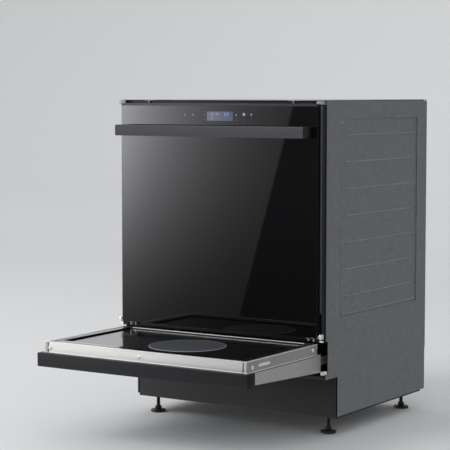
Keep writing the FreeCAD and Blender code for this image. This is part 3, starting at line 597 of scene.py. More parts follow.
display_film, tree, shader = new_finish("display_window_film", Base_Color="#1b1c26",
                                        Roughness=0.12, IOR=1.5, Emission_Strength=0.62)
across = add(tree, "ShaderNodeSeparateXYZ", {"Vector": pattern_space(tree)})
share = add(tree, "ShaderNodeMapRange", (across.outputs["X"], -26.0, 51.0, 0.0, 1.0))
shades = add(tree, "ShaderNodeMix", {"Factor": share, "A": tint("#767482"), "B": tint("#4b5482")},
             data_type="RGBA")
tree.links.new(shades.outputs["Result"], shader.inputs["Emission Color"])
print("display and sign finishes are ready")

# %% Display, digits and signs
DISPLAY = (-25.4, 50.4, 764, 786.6)          # left, right, low and high edge, mm
PRINT, DIGIT = (-0.08, -0.02), (-0.12, -0.06)    # from front to rear, mm from the glass


def rectangle(x0, x1, z0, z1):
    return [(x0, z0), (x1, z0), (x1, z1), (x0, z1)]


def polygon(x, z, radius, count, start=90.0):
    angles = [math.radians(start + 360 * k / count) for k in range(count)]
    return [(x + radius * math.cos(a), z + radius * math.sin(a)) for a in angles]


def bars(shape, x, z, size, lit_bars):
    # one digit of seven bars, size high, its lower left corner at x, z
    w, h, t = size * 0.55, size, size * 0.11
    bar_spans = {"a": (0, w, h - t, h), "b": (w - t, w, h / 2, h), "c": (w - t, w, 0, h / 2),
                 "d": (0, w, 0, t), "e": (0, t, 0, h / 2), "f": (0, t, h / 2, h),
                 "g": (0, w, h / 2 - t / 2, h / 2 + t / 2)}
    for key in lit_bars:
        x0, x1, z0, z1 = bar_spans[key]
        cut_profile(shape, rectangle(x + x0, x + x1, z + z0, z + z1), "y", *DIGIT)


window = bmesh.new()
cut_profile(window, rectangle(*DISPLAY), "y", -0.06, -0.01)
finished("display_window", window, display_film, "door", "door_glass")

digits = bmesh.new()
for x, z, size, lit_bars in (
        (-16, 777, 6.5, "bc"), (-10, 777, 6.5, "abged"), (0, 777, 6.5, "abgcd"),
        (6, 777, 6.5, "abcdef"), (-16, 767.5, 5, "fgbc"), (-11, 767.5, 5, "abcdef"),
        (26, 776, 7.5, "acdefg"), (33, 776, 7.5, "afgcd")):
    bars(digits, x, z, size, lit_bars)
for z in (778.6, 781.6):
    cut_profile(digits, polygon(-2.3, z, 0.5, 8), "y", *DIGIT)
finished("display_digits", digits, digit_light, "door", "door_glass")

signs, dim_signs = bmesh.new(), bmesh.new()
for shape, x, z, radius, corners in (
        (signs, 82, 780, 4.0, 24), (dim_signs, -91, 776, 2.0, 20), (dim_signs, -67, 778, 2.2, 20),
        (dim_signs, -33, 787, 0.9, 20), (dim_signs, -33, 778, 1.5, 20), (signs, 103, 780, 2.4, 20)):
    cut_profile(shape, polygon(x, z, radius, corners), "y", *PRINT)
cut_profile(signs, [(57.5, 777), (62.5, 777), (60, 781.5)], "y", *PRINT)
for x, z in ((-91, 765), (-67, 766), (-33, 766.6), (60, 766), (82, 766), (103, 766.6)):
    cut_profile(dim_signs, polygon(x, z, 0.9, 12), "y", *PRINT)
for x in (-91, -67):
    cut_profile(dim_signs, rectangle(x - 3.4, x + 3.4, 780.2, 781), "y", *PRINT)
finished("touch_signs_bright", signs, sign_light, "door", "door_glass")
finished("touch_signs_dim", dim_signs, sign_dim, "door", "door_glass")
print("display window, 8 digits and 15 signs")

# %% [markdown]
# ## Drawer rim
# The rim is folded from stainless strip, brushed along its length, so front and side rails take the
# same steel with the grain turned; its copy on the front and rear rails is lighter, as painted
# light, and its copy on the side rails darker, as painted shade. Its lips are rolled over and take
# a near-white copy of the steel, a painted highlight. A small stamped plate with ribs sits on each
# side rail. One CAD node is copied five times, and each copy keeps one kind of face.

# %% Rails of the rim
LIP_LOW, LIP_HIGH = 211.25, 235.15           # the web of a rail stands between these heights
CORNER, REAR_END, STAMPED = 278, 283.4, 287.31    # distances from the middle, mm


def is_web(z):
    return LIP_LOW < z < LIP_HIGH


def is_front(x, y):
    return abs(x) < CORNER and y < -280


def is_rear(x, y):
    return abs(x) < REAR_END and y > -40


def is_side(x, y):
    return abs(x) > CORNER and not is_rear(x, y)


def is_stamped(x, y, z):
    # the plain field that the ribbed plate covers
    return abs(x) > STAMPED and -263 < y < -213 and 218 < z < 227


for name, material, keep in (
        ("rim_front_rail", rim_steel_painted_light, lambda x, y, z: is_front(x, y) and is_web(z)),
        ("rim_front_lips", lip_steel, lambda x, y, z: is_front(x, y) and not is_web(z)),
        ("rim_rear_rail", rim_steel_painted_light, lambda x, y, z: is_rear(x, y)),
        ("rim_side_rails", rim_steel_painted_shade,
         lambda x, y, z: is_side(x, y) and is_web(z) and not is_stamped(x, y, z)),
        ("rim_side_lips", lip_steel, lambda x, y, z: is_side(x, y) and not is_web(z))):
    rounded("tray_frame", 0.4, material, "drawer", "tray_steel", keep=keep, name=name)
print("front, rear and side rails, and their lips")

# %% Painted shade strips and ribbed plates
def both_sides(shape):
    # the same shape again, mirrored to the other side of the object
    whole = shape.verts[:] + shape.edges[:] + shape.faces[:]
    for item in bmesh.ops.duplicate(shape, geom=whole)["geom"]:
        if isinstance(item, bmesh.types.BMVert):
            item.co.x = -item.co.x


def strip_pair(name, x, y, z, radius, material, body, slot):
    strip = bmesh.new()
    block(strip, x, y, z, radius)
    both_sides(strip)
    finished(name, strip, material, body, slot)


# the grey strips in the rim's front corners are painted shade of the fold
strip_pair("rim_corner_seams", (275.4, 278.7), (-310.25, -309.9), (211.5, 235.0), 0.1,
           steel_painted_shade_and_highlight, "drawer", "tray_steel")
# black blocks over the ends of the rear rail are painted shade
strip_pair("rear_rail_end_caps", (252.6, 283.2), (-1.4, 3.2), (224, 236.9), 0.5, frame_black,
           "drawer", "tray_steel")
# thin black strips under the side lips are a painted shadow line
strip_pair("rim_joint_strips", (286.6, 287.5), (-293, 2.8), (207.3, 208.7), 0.2, seal_rubber,
           "drawer", "tray_steel")
# a black strip under the rear lip is painted shade that narrows its bright line
rear_shade_strip = bmesh.new()
block(rear_shade_strip, (-252.6, 252.6), (-1.6, -0.9), (232.5, 234.9), 0.2)
finished("rear_rail_joint", rear_shade_strip, seal_rubber, "drawer", "tray_steel")

ribbed = bmesh.new()
block(ribbed, (287.2, 288.3), (-262, -214), (219, 226), 0.3)
for k in range(12):
    block(ribbed, (288.1, 289.1), (-260 + 3.8 * k, -258.4 + 3.8 * k), (219.8, 225.2), 0.4)
block(ribbed, (288.1, 289.3), (-219, -215), (219.4, 225.8), 0.5)
both_sides(ribbed)
finished("rim_side_plates", ribbed, bright_zinc, "drawer", "bright_zinc", "tray_frame")
print("corner seams, side plates, end caps and joint strips")

# %% [markdown]
# ## Screws of the drawer
# Pan-head screws with a cross recess, driven from outside. The head is turned with a small hollow
# in its top. The recess is under a millimetre wide, and a cross that stands in the hollow and
# just breaks the dome reads the same from any distance at which the drawer is seen whole.

# %% Drawer screws
def screw_head(radius, height, steps=28):
    # drawn round the origin, pointing along +Z
    head = bmesh.new()
    outline = [(0, 0.25 * height), (0.16 * radius, 0.3 * height), (0.3 * radius, 0.93 * height),
               (0.34 * radius, 0.95 * height)]
    outline += [(radius * math.sin(a), height * math.cos(a) ** 0.8)
                for a in map(math.radians, (28, 38, 48, 58, 68, 78, 85))] + [(radius, 0.0)]
    turn(head, ORIGIN, outline, steps=steps)
    bar = rectangle(-0.62 * radius, 0.62 * radius, -0.13 * radius, 0.13 * radius)
    for outline in (bar, [(b, a) for a, b in bar]):
        cut_profile(head, [(x, y + ORIGIN[1]) for x, y in outline], "z", 0.2 * height,
                    0.88 * height)
    return head


SCREW, RIVET = (5.0, 2.4), (1.6, 0.8, 16)    # radius, height and, if not 28, steps round
SIDE = 287.4                                 # outer face of a side rail, mm from the middle
tray_heads = copies("tray_front_screws", screw_head(*SCREW),
                    [(x, -310.1, 221) for x in (-272, -9)], bright_zinc, (90, 0, 0))
place(tray_heads, "drawer", "bright_zinc", "tray_screws")
for side, x, lean in (("right", SIDE, 90), ("left", -SIDE, -90)):
    heads = copies("tray_" + side + "_screws", screw_head(*SCREW),
                   [(x, -287.5, 220.5), (x, -17.5, 224)], bright_zinc, (0, lean, 0))
    place(heads, "drawer", "bright_zinc", "tray_screws")
for side, x, lean in (("right", SIDE, 90), ("left", -SIDE, -90)):
    place(copies("tray_" + side + "_rivet", screw_head(*RIVET), [(x, -1.5, 229)], bright_zinc,
                 (0, lean, 0)), "drawer", "bright_zinc")
print("six screws and two rivets")

# %% [markdown]
# ## Plate, border and zone
# The plate and its border are ground glass, so their edges are broken by half a millimetre. The
# zone has a ground rim that catches the light as a thin bright line.

# %% Plate, border and zone
RIM_WIDTH = 1.4

rounded("tray_border", 0.5, plate_glass, "drawer", "plate_glass")
zone_low, zone_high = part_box("zone_disc")
middle = (zone_low + zone_high) / 2
zone_radius = (zone_high.x - zone_low.x) * 500
zone_place = (middle.x * 1000, (middle.y - glass_face) * 1000, zone_low.z * 1000)
zone_top = (zone_high.z - zone_low.z) * 1000
rim_inside = zone_radius - RIM_WIDTH
zone = bmesh.new()
turn(zone, zone_place, [(0, 0.01), (rim_inside, 0.01), (rim_inside, zone_top - 0.05),
                        (zone_radius - 1.8, zone_top - 0.02), (0, zone_top - 0.02)], steps=128)
finished("zone_print", zone, zone_enamel, "drawer", "zone_glass", "zone_disc")
rim = bmesh.new()
turn(rim, zone_place, [(rim_inside, 0.0), (zone_radius, 0.0), (zone_radius - 0.25, zone_top * 0.7),
                       (zone_radius - 0.7, zone_top), (rim_inside, zone_top)],
     steps=128, ring=True)
finished("zone_ground_rim", rim, zone_rim, "drawer", "zone_glass")
print("zone radius", round(zone_radius, 1), "mm")

# %% [markdown]
# ## Hinges, brackets and frame
# Stamped and folded steel: the CAD shapes with their edges broken. The frame's posts are black
# coated sheet; a grey strip on each post is a painted highlight, and their outer step takes matt
# black rubber and a black strip as painted shade.

# %% Hinges, brackets and frame
# POST is the height span of the painted highlight and painted shade strips on the posts
POST_STEP, POST = 293.2, (308, 803)          # where the outer step starts, and its lining, mm

for node, radius, material, body, slot in (
        ("hinge_brackets", 0.35, bright_zinc, "cabinet", "bright_zinc"),
        ("hinge_arms", 0.4, arm_steel, "door", "runner_steel"),
        ("fixing_brackets", 0.3, zinc_sheet, "cabinet", "bright_zinc"),
        ("door_carrier", 0.4, frame_black, "door", "black_paint"),
        ("drawer_arms", 0.4, arm_steel, "drawer", "runner_steel"),
        ("slot_guides", 0.8, white_plastic, "cabinet", "white_plastic"),
        ("runner_fixed", 0.4, arm_steel, "cabinet", "runner_steel"),
        ("runner_middle", 0.4, arm_steel, "runner_middle", "runner_steel"),
        ("runner_inner", 0.4, arm_steel, "drawer", "runner_steel")):
    rounded(node, radius, material, body, slot)
rounded("front_frame", 0.4, frame_black, "cabinet", "black_paint", name="front_frame_inner",
        keep=lambda x, y, z: abs(x) < POST_STEP)
# the outer step of each post takes black rubber: painted shade
rounded("front_frame", 0.4, seal_rubber, "cabinet", "black_paint",
        name="front_frame_outer_step", keep=lambda x, y, z: abs(x) >= POST_STEP)
# a grey strip on each post: a painted highlight
strip_pair("post_satin_lips", (287.4, 292.4), (13.4, 14.2), POST, 0.35, steel_painted_shade_and_highlight,
           "cabinet", "black_paint")
# a black strip beside it: painted shade
strip_pair("post_foam_strips", (292.6, 295.4), (13.3, 14.3), POST, 0.3, seal_rubber,
           "cabinet", "black_paint")
print("ten nodes with broken edges")

# %% [markdown]
# ## Racks of nylon-dipped wire
# A rack is made of two crossing sets of bent wires, welded where they meet, with round hoops at
# rim and mid height and rows of upright tines. One run of the wire tree makes each set: the wire
# that goes down one wall, across the floor and up the other is drawn once and repeated. The two
# wires at the front are shorter, because the hoop dips there.

# %% Racks
RACK_HALF, RACK_FRONT, RACK_REAR, THICK = 256.0, 105.0, 485.0, 1.9
CELLS_X, CELLS_Y = 16, 12
TINES_FRONT, TINES_LENGTH = 132, 326.0


def rack_pieces(name, floor_z, height, tine_rows, tine_height, tine_count, low_front):
    half, front, rear = RACK_HALF, RACK_FRONT, RACK_REAR
    top, base = floor_z + height - 2, floor_z + 2
    front_top = top - low_front
    pitch_x, pitch_y = 2 * half / CELLS_X, (rear - front) / CELLS_Y

    def basket_wire(y, top):
        return [(-half, y, top), (-half, y, base), (half, y, base), (half, y, top)]

    along = [(-half, front, front_top), (-half, front, base), (-half, rear, base),
             (-half, rear, top)]
    for part, line, count, offset in (
            ("_cross_wires", basket_wire(front + 2 * pitch_y, top), 11, (0, pitch_y, 0)),
            ("_front_wires", basket_wire(front, front_top), 2, (0, pitch_y, 0)),
            ("_long_wires", along, 17, (pitch_x, 0, 0))):
        yield wires(name + part, [line], THICK, rack_nylon, 9, 8, count, offset)
    hoops = []
    for z, dip in ((top, low_front), ((top + base) / 2, 0)):
        hoops.append([(0, rear, z), (half, rear, z), (half, front + 60, z),
                      (half, front + 20, z - dip), (half, front, z - dip),
                      (-half, front, z - dip), (-half, front + 20, z - dip),
                      (-half, front + 60, z), (-half, rear, z), (0, rear, z)])
    yield wires(name + "_hoops", hoops, THICK + 0.1, rack_nylon, 14, 8)
    step_y = TINES_LENGTH / (tine_count - 1)
    tines = [[(x, TINES_FRONT, base + 1), (x, TINES_FRONT, base + tine_height)]
             for x in tine_rows]
    yield wires(name + "_tines", tines, 1.6, rack_nylon, 0, 8, tine_count, (0, step_y, 0))
    rails = [[(x, TINES_FRONT - 4, base + 2.4), (x, 462, base + 2.4)] for x in tine_rows]
    yield wires(name + "_tine_rails", rails, 1.7, rack_nylon, 0, 8)
    tips = [(x, TINES_FRONT + k * step_y, base + tine_height)
            for x in tine_rows for k in range(tine_count)]
    ball = bmesh.new()
    turn(ball, ORIGIN, [(0, -1.2), (1.6, -1.0), (1.75, 0), (1.3, 1.1), (0, 1.6)], steps=8)
    yield copies(name + "_tine_tips", ball, tips, rack_nylon)


for rack, sizes in (
        ("lower_rack", (290, 105, (-198, -118, -38, 42), 52, 12, 26)),
        ("upper_rack", (525, 115, (-128, -58, 62, 132), 36, 10, 20))):
    for piece in rack_pieces(rack, *sizes):
        place(piece, rack, "rack_coating", rack)
print("two racks of bent wire")

# %% [markdown]
# ## What the racks run on, and the water feed
# The lower rack stands on wheels whose axles sit in moulded brackets. The upper rack hangs in
# moulded runners and carries its own pipe, which brings water to the arm under it.

# %% Brackets, runners and feed
WHEELS_Y, AXLE_X, AXLE_Z = (150, 440), 261, 281.4
HUB_Y = 300                                  # all spray arms turn about this line, mm


def span(middle, half):
    return middle - half, middle + half


brackets = bmesh.new()
for y in WHEELS_Y:
    block(brackets, (258, AXLE_X), span(y, 14), (273, 310), 0.8)
    turn(brackets, (AXLE_X, y, AXLE_Z), [(0, 0), (3, 0), (3, 13.6), (2.4, 14.4), (0, 14.4)],
         "x", 20)
    turn(brackets, (260.6, y, 303), [(0, 1.4), (2.4, 1.2), (3.2, 0.2), (3.2, 0), (0, 0)],
         "x", 16)
both_sides(brackets)
finished("wheel_brackets", brackets, grey_plastic, "lower_rack", "rack_coating", "lower_rack")

runners = bmesh.new()
block(runners, (258, 274.8), (110, 480), (562.5, 567.9), 0.9)
for y in (120, 295, 470):
    block(runners, (257.2, 259), span(y, 8), (556, 575), 0.6)
both_sides(runners)
turn(runners, (0, HUB_Y, 515), [(0, 0), (7, 0), (7, 176), (6, 180.8), (0, 180.8)], "y", 24)
turn(runners, (0, HUB_Y, 491), [(0, 0), (10, 0.4), (10, 3), (6, 3.6), (6, 16), (9, 17),
                                (9, 33.6), (0, 33.6)], steps=32)
finished("upper_rack_runners", runners, grey_plastic, "upper_rack", "rack_coating", "upper_rack")
print("wheel brackets, runners and water feed")

# %% [markdown]
# ## Rack wheels
# Moulded nylon wheels with a groove for the ledge and a dished face with spokes.

# %% Wheels
HALF_WHEEL = [(3.2, 0.0), (5.5, 0.0), (6.0, 1.2), (10.2, 1.2), (10.8, 0.0), (12.5, 0.0)]
TREAD = [(13, 0.5), (13, 2.8), (11.6, 3.4), (11.6, 6.6), (13, 7.2), (13, 9.5)]
REAR_FACE = [(12.5, 10), (10.8, 10), (10.2, 8.8), (6, 8.8), (5.5, 10), (3.2, 10)]

for node, y in zip(("lower_wheels_front", "lower_wheels_rear"), WHEELS_Y):
    wheel = bmesh.new()
    turn(wheel, (264, y, AXLE_Z), HALF_WHEEL + TREAD + REAR_FACE, "x", 40, ring=True)
    for a, b in around(6, 8):
        block(wheel, (264.4, 273.6), span(y + a, 1), span(AXLE_Z + b, 1), 0.3)
    both_sides(wheel)
    finished(node + "_moulded", wheel, grey_plastic, node, "grey_plastic", node)
rounded("cutlery_basket", 0.4, grey_plastic, "cutlery_basket", "grey_plastic", 2)
print("four wheels and the cutlery basket")

# %% [markdown]
# ## Spray arms
# An arm is two plastic shells welded to a flat hollow wing. Its section is a flat lens that
# narrows to the tip; jets stand on top in a row on each wing and the hub carries a ring nut. The
# wing is lofted from sections along its length.

# %% Spray arms
WING_HALF = [(0, 18.6), (0.25, 16.5), (0.6, 13.5), (0.95, 11.2), (0.985, 8.0), (1.0, 3.5)]
WING_SPANS = [(-share, width) for share, width in WING_HALF[:0:-1]] + WING_HALF
SECTION = 20                                 # points round a section


def wing(shape, low, high, reach):
    middle, half_height = (low + high) / 2, (high - low) / 2
    rings = []
    for share, width in WING_SPANS:
        thick = half_height * (0.55 if abs(share) > 0.99 else 0.85 if abs(share) > 0.9 else 1.0)
        ring = []
        for c, s in around(SECTION, 1):
            flat = abs(c) ** 0.75 * math.copysign(1, c)
            tall = abs(s) ** 0.6 * math.copysign(1, s)
            spot = at(share * reach, HUB_Y + width * flat, middle + thick * tall)
            ring.append(shape.verts.new(spot))
        rings.append(ring)
    for lower, upper in zip(rings, rings[1:]):
        for k in range(SECTION):
            after = (k + 1) % SECTION
            shape.faces.new((lower[k], lower[after], upper[after], upper[k]))
    shape.faces.new(rings[0])
    shape.faces.new(rings[-1][::-1])


for node, low, high, reach, bore, hub_low, hub_high in (
        ("lower_spray_arm", 270.5, 281, 188, 8.4, 268.5, 285),
        ("upper_spray_arm", 495, 503, 175, 6.4, 494.6, 506.4),
        ("ceiling_spray_arm", 758.5, 767, 150, 6.4, 757.6, 773)):
    arm = bmesh.new()
    wing(arm, low, high, reach)
    tall = hub_high - hub_low
    turn(arm, (0, HUB_Y, hub_low), [
        (bore, 0), (18, 0), (20.5, 1.2), (21, 3), (21, tall - 4), (19, tall - 2.4),
        (14, tall - 2), (14, tall), (bore, tall)], steps=48, ring=True)
    for a, b in around(12, 16.6):
        block(arm, span(a, 1), span(HUB_Y + b, 1), (hub_high - 3.2, hub_high - 1), 0.3)
    for side in (-1, 1):
        for k in range(4):
            jet = (side * (50 + k * (reach - 70) / 3), HUB_Y + side * 4, high - 0.6)
            turn(arm, jet, [(0, -1.2), (1.1, -1.2), (1.3, 1.6), (2.6, 2.4), (4, 1.2), (4.4, 0),
                            (4.4, -1)], steps=20)
    finished(node + "_shell", arm, grey_plastic, node, "grey_plastic", node)
print("three spray arms with 8 jets each")

# %% [markdown]
# ## Inner door
# The inner door is pressed from brushed stainless sheet. Beads pressed round its middle stiffen
# it; they are drawn as a half-sunk wire. The dispenser is moulded, with a sprung lid, a catch and
# the cap of the rinse-aid chamber.

# %% Inner door and its beads
rounded("door_liner", 3.0, door_steel, "door", "tub_steel", 4, longer=300)
LINER = 55                                   # face of the inner door, mm from the glass


def bead_loop(x0, x1, z0, z1, x_end):
    # a closed line that runs on past its start, so that each of its corners is bent
    corners = rectangle(x0, x1, z0, z1)
    return [(x, LINER, z) for x, z in corners + corners[:1] + [(x_end, z0)]]


beads = [bead_loop(-236, 236, z0, z1, 0) for z0, z1 in ((290, 430), (630, 758))]
beads += [bead_loop(s * 110, s * 236, 455, 605, s * 150) for s in (-1, 1)]
place(wires("pressed_door_beads", beads, 1.6, door_steel, 16, 12), "door", "tub_steel")
print(len(beads), "beads on the inner door")

# %% Dispenser, its lid and cap
CAP_X, CAP_Z = 20, 574

rounded("dispenser_body", 0.5, grey_plastic, "door", "grey_plastic", 2)
details = bmesh.new()
cut_profile(details, [(-78, 597), (78, 597), (78, 463), (-78, 463), (-78, 466), (75, 466),
                      (75, 594), (-78, 594)], "y", 56.5, 58.6, 0.5)
block(details, (-78, -75.4), (56.5, 58.6), (464, 596), 0.5)
block(details, (-48, -24), (56.6, 60.2), (556, 574), 1.4, 3)
for k in range(5):
    block(details, (-44 + 4 * k, -42 + 4 * k), (59.8, 60.9), (559, 571), 0.4)
turn(details, (CAP_X, 57.05, CAP_Z), [(16.2, 0), (18.4, 0), (18.4, 0.9), (17.6, 1.5),
                                      (16.8, 1.2), (16.2, 0.4)], "y", 48, ring=True)
turn(details, (56, 57, CAP_Z), [(0, 0), (5, 0), (5, 0.6), (4.2, 1.0), (0, 1.1)], "y", 24)
finished("dispenser_details", details, grey_plastic, "door", "grey_plastic")

lid = bmesh.new()
block(lid, (-75, -4), (57.4, 59.4), (469, 547), 0.9, 3)
block(lid, (-69, -17), (59, 60.1), (475, 541), 1.0, 3)
block(lid, (-12, -7), (59, 60.6), (480, 536), 0.8, 3)
for k in range(9):
    block(lid, (-12.2, -6.8), (60.2, 60.6), (484 + 6 * k, 486 + 6 * k), 0.15)
finished("dispenser_lid_moulded", lid, cap_plastic, "dispenser_lid", "grey_plastic",
         "dispenser_lid")

cap = bmesh.new()
turn(cap, (CAP_X, 44, CAP_Z), [(0, 0), (11, 0), (11.6, 0.6), (11.6, 13.4), (15, 13.6),
                               (15, 14.8), (14.4, 15.4), (0, 15.4)], "y", 48)
block(cap, (9, 31), (59, 60.4), (571.8, 576.2), 0.9, 3)
for a, b in around(24, 14.6):
    block(cap, span(CAP_X + a, 0.6), (57.6, 59.2), span(CAP_Z + b, 0.6), 0.2)
finished("rinse_cap_moulded", cap, cap_plastic, "rinse_cap", "grey_plastic", "rinse_cap")
print("dispenser, lid and cap")

# %% [markdown]
# ## Wash tub
# The tub is folded from 1 mm stainless. Its inner corners are rounded so that water runs off, and
# the sides carry pressed beads. The mouth has a hollow rubber seal with a lip.

# %% Tub corners, beads and seal
TUB_HALF, TUB_REAR, TUB_ROOF = 278, 515, 796    # inner faces of the tub, mm


def corner_fill(x, y, radius):
    # the outline of what rounds a square corner off
    arc = [math.radians(a) for a in range(0, 91, 10)]
    return [(x - radius + radius * math.cos(a), y - radius + radius * math.sin(a))
            for a in arc] + [(x, y)]


corner = bmesh.new()
cut_profile(corner, corner_fill(TUB_HALF, TUB_REAR, 20), "z", 248, 795.9)
cut_profile(corner, corner_fill(TUB_HALF, TUB_ROOF, 14), "y", 66, 514.9)
both_sides(corner)
cut_profile(corner, corner_fill(TUB_REAR, TUB_ROOF, 14), "x", -270, 270)
finished("tub_rounded_corners", corner, tub_steel, "cabinet", "tub_steel")
beads = [[(s * 277.9, y, z) for y in (90, 480)] for s in (-1, 1)
         for z in (420, 450, 640, 670, 700)]
beads += [[(x, 514.9, z) for z in (300, 760)] for x in (-200, -150, -100, 100, 150, 200)]
place(wires("tub_pressed_beads", beads, 1.5, tub_steel, 0, 12), "cabinet", "tub_steel")
lip = [(271, 57.5, 262), (271, 57.5, 788), (-271, 57.5, 788), (-271, 57.5, 262)]
place(wires("door_gasket_tube", [lip], 4.4, seal_rubber, 12, 16), "cabinet", "rubber")
rounded("door_gasket", 1.5, seal_rubber, "cabinet", "rubber")
ledges = bmesh.new()
block(ledges, (263.4, 277.9), (70, 505), (262, 268), 1.4, 3)
block(ledges, (262.9, 277.9), (150, 430), (556, 562), 1.4, 3)
both_sides(ledges)
finished("rack_ledges_rounded", ledges, tub_steel, "cabinet", "tub_steel")
print("tub corners, beads, seal and ledges")

# %% [markdown]
# ## Filter cup and salt cap
# The lift-out cup of the filter has a grip bar and a ribbed wall; the perforated ring round it
# stays the CAD node. The salt chamber has a screw cap with a grip bar and a ribbed edge.

# %% Filter cup and salt cap
CUP_Y, SALT_X, SALT_Y = 430, -185, 440

filter_cup = bmesh.new()
turn(filter_cup, (0, CUP_Y, 204), [
    (0, 0), (38, 0), (40, 1.5), (40, 44.6), (45, 44.8), (46, 45.4), (46, 46.4), (45, 47),
    (39, 47), (38, 46), (38, 2.5), (0, 2.5)], steps=64)
block(filter_cup, (-38.5, 38.5), (427, 433), (249, 264), 2.2, 3)
for a, b in around(36, 40):
    turn(filter_cup, (a, CUP_Y + b, 207), [(0, 0), (0.9, 0.4), (0.9, 35), (0, 36)], steps=6)
finished("filter_cup_moulded", filter_cup, grey_plastic, "filter_cup", "grey_plastic",
         "filter_cup")
salt = bmesh.new()
turn(salt, (SALT_X, SALT_Y, 234), [
    (0, 0), (27.5, 0), (28.5, 1), (28.5, 13.4), (37, 13.4), (38, 14.4), (38, 21), (35.5, 24),
    (0, 24)], steps=64)
block(salt, (-217, -153), (435.8, 444.2), (257, 265), 2.0, 3)
for a, b in around(30, 37.4):
    turn(salt, (SALT_X + a, SALT_Y + b, 248.6), [(0, 0), (0.6, 0.2), (0.6, 5.6), (0, 6)],
         steps=6)
finished("salt_cap_moulded", salt, grey_plastic, "salt_cap", "grey_plastic", "salt_cap")
print("filter cup and salt cap")

# %% [markdown]
# ## Base, feet and connections
# The base is moulded in black polypropylene. Its feet screw in: a round pad, a hexagon for the
# spanner and a threaded spindle. At the rear stand the barbed drain spigot, the inlet thread and
# the gland for a mains lead.

# %% Base and feet
def hexagon(x, y, flats):
    # flats: the spanner's size
    return polygon(x, y, flats / 1.732, 6, 0.0)


def thread(x, y, z, radius, length, pitch, axis):
    # one line that winds round the spindle, 16 points a turn
    count = int(length / pitch * 16)
    for k in range(count + 1):
        a, h = math.tau * k / 16, length * k / count
        c, s = radius * math.cos(a), radius * math.sin(a)
        yield (x + c, y + s, z + h) if axis == "z" else (x + c, y + h, z + s)


feet = bmesh.new()
threads = []
for x in (-255, 255):
    for y in (115, 505):
        turn(feet, (x, y, 0), [(0, 0), (18, 0), (20, 1.5), (20, 4.5), (18, 7), (10, 8), (0, 8)])
        cut_profile(feet, hexagon(x, y, 15.6), "z", 7.8, 16, 0.6)
        turn(feet, (x, y, 15.5), [(0, 0), (4.4, 0), (4.4, 56), (3.6, 56.5), (0, 56.5)], steps=24)
        threads.append(list(thread(x, y, 17, 4.4, 26, 2.0, "z")))
finished("feet_turned", feet, base_plastic, "cabinet", "base_plastic", "levelling_feet")
place(wires("feet_threads", threads, 0.6, base_plastic, 0, 6), "cabinet", "base_plastic")
rounded("base_tray", 1.5, base_plastic, "cabinet", "base_plastic", longer=100)
base_ribs = bmesh.new()
for x in range(-240, 241, 40):
    block(base_ribs, span(x, 1), (84.2, 86), (50, 146), 0.4)
    block(base_ribs, span(x, 1), (538, 539.8), (126, 146), 0.4)
finished("base_ribs", base_ribs, base_plastic, "cabinet", "base_plastic")
print("base and four feet")

# %% Drain, inlet and gland
spigot = bmesh.new()
barbs = [(radius, along + 4 * k) for k in range(3)
         for radius, along in ((8.6, 0.3), (9.5, 3.4), (8.6, 3.9))]
turn(spigot, (178, 541, 95), [(6.2, 0.0)] + barbs + [(6.2, 12.0)], "y", ring=True)
finished("drain_spigot_barbs", spigot, white_plastic, "cabinet", "white_plastic")
rounded("drain_pump", 1.0, white_plastic, "cabinet", "white_plastic", longer=20)
turns = list(thread(-210, 542, 100, 12.7, 10.5, 1.8, "y"))
place(wires("inlet_thread_turns", [turns], 0.5, white_plastic, 0, 6), "cabinet",
      "white_plastic")
rounded("inlet_valve", 0.8, white_plastic, "cabinet", "white_plastic")
gland = bmesh.new()
cut_profile(gland, hexagon(-36, 97, 21.0), "y", 537.5, 544, 0.6)
turn(gland, (-36, 544, 97), [(5.6, 0), (10.2, 0), (10.6, 1), (9.4, 7.4), (8.6, 8), (5.6, 8)],
     "y", ring=True)
finished("gland_nut", gland, base_plastic, "cabinet", "base_plastic")
rounded("mains_terminal", 0.8, base_plastic, "cabinet", "base_plastic", longer=20)
print("spigot, inlet thread and gland")

# %% [markdown]
# ## Outer case
# Side and rear sheets are galvanised and have a pressed field, within which stiffening beads are
# rolled. Beads are half-sunk wires of the same sheet, so they read as pressed metal. The parts
# under and beside the tub keep their CAD shape and only get their edges broken.

# %% Beads of the case
for side, s in (("left", -1), ("right", 1)):
    lines = [[(s * 296.3, y, z) for y in (120, 470)] for z in range(340, 731, 65)]
    field = rectangle(96, 494, 296, 764)
    lines.append([(s * 296.2, y, z) for y, z in field + field[:1] + [(200, 296)]])
    place(wires("side_beads_" + side, lines, 2.2, zinc_sheet, 10, 12), "cabinet",
          "black_paint")
lines = [[(x, 551.4, z) for x in (-190, 190)] for z in range(350, 711, 60)]
field = rectangle(-224, 224, 306, 754)
lines.append([(x, 551.3, z) for x, z in field + field[:1] + [(0, 306)]])
place(wires("rear_beads", lines, 2.2, zinc_sheet, 10, 12), "cabinet", "zinc_sheet")
print("seven beads and a frame on each sheet")

# %% Parts under and beside the tub
rounded("slot_floor", 0.4, frame_black, "cabinet", "black_paint")
rounded("water_softener", 1.5, white_plastic, "cabinet", "white_plastic", longer=20)
rounded("feed_tube", 0.8, grey_plastic, "cabinet", "grey_plastic", longer=3)
rounded("sump", 0.8, grey_plastic, "cabinet", "grey_plastic", longer=3)
print("slot floor, softener, feed and sump")

# %% [markdown]
# ## Pump and electronics
# The circulation pump is a cast housing with cooling ribs on its motor. The control board is
# glass-fibre laminate with relays, chips and a connector row.

# %% Pump and board details
PUMP_Y, PUMP_Z = 430, 200

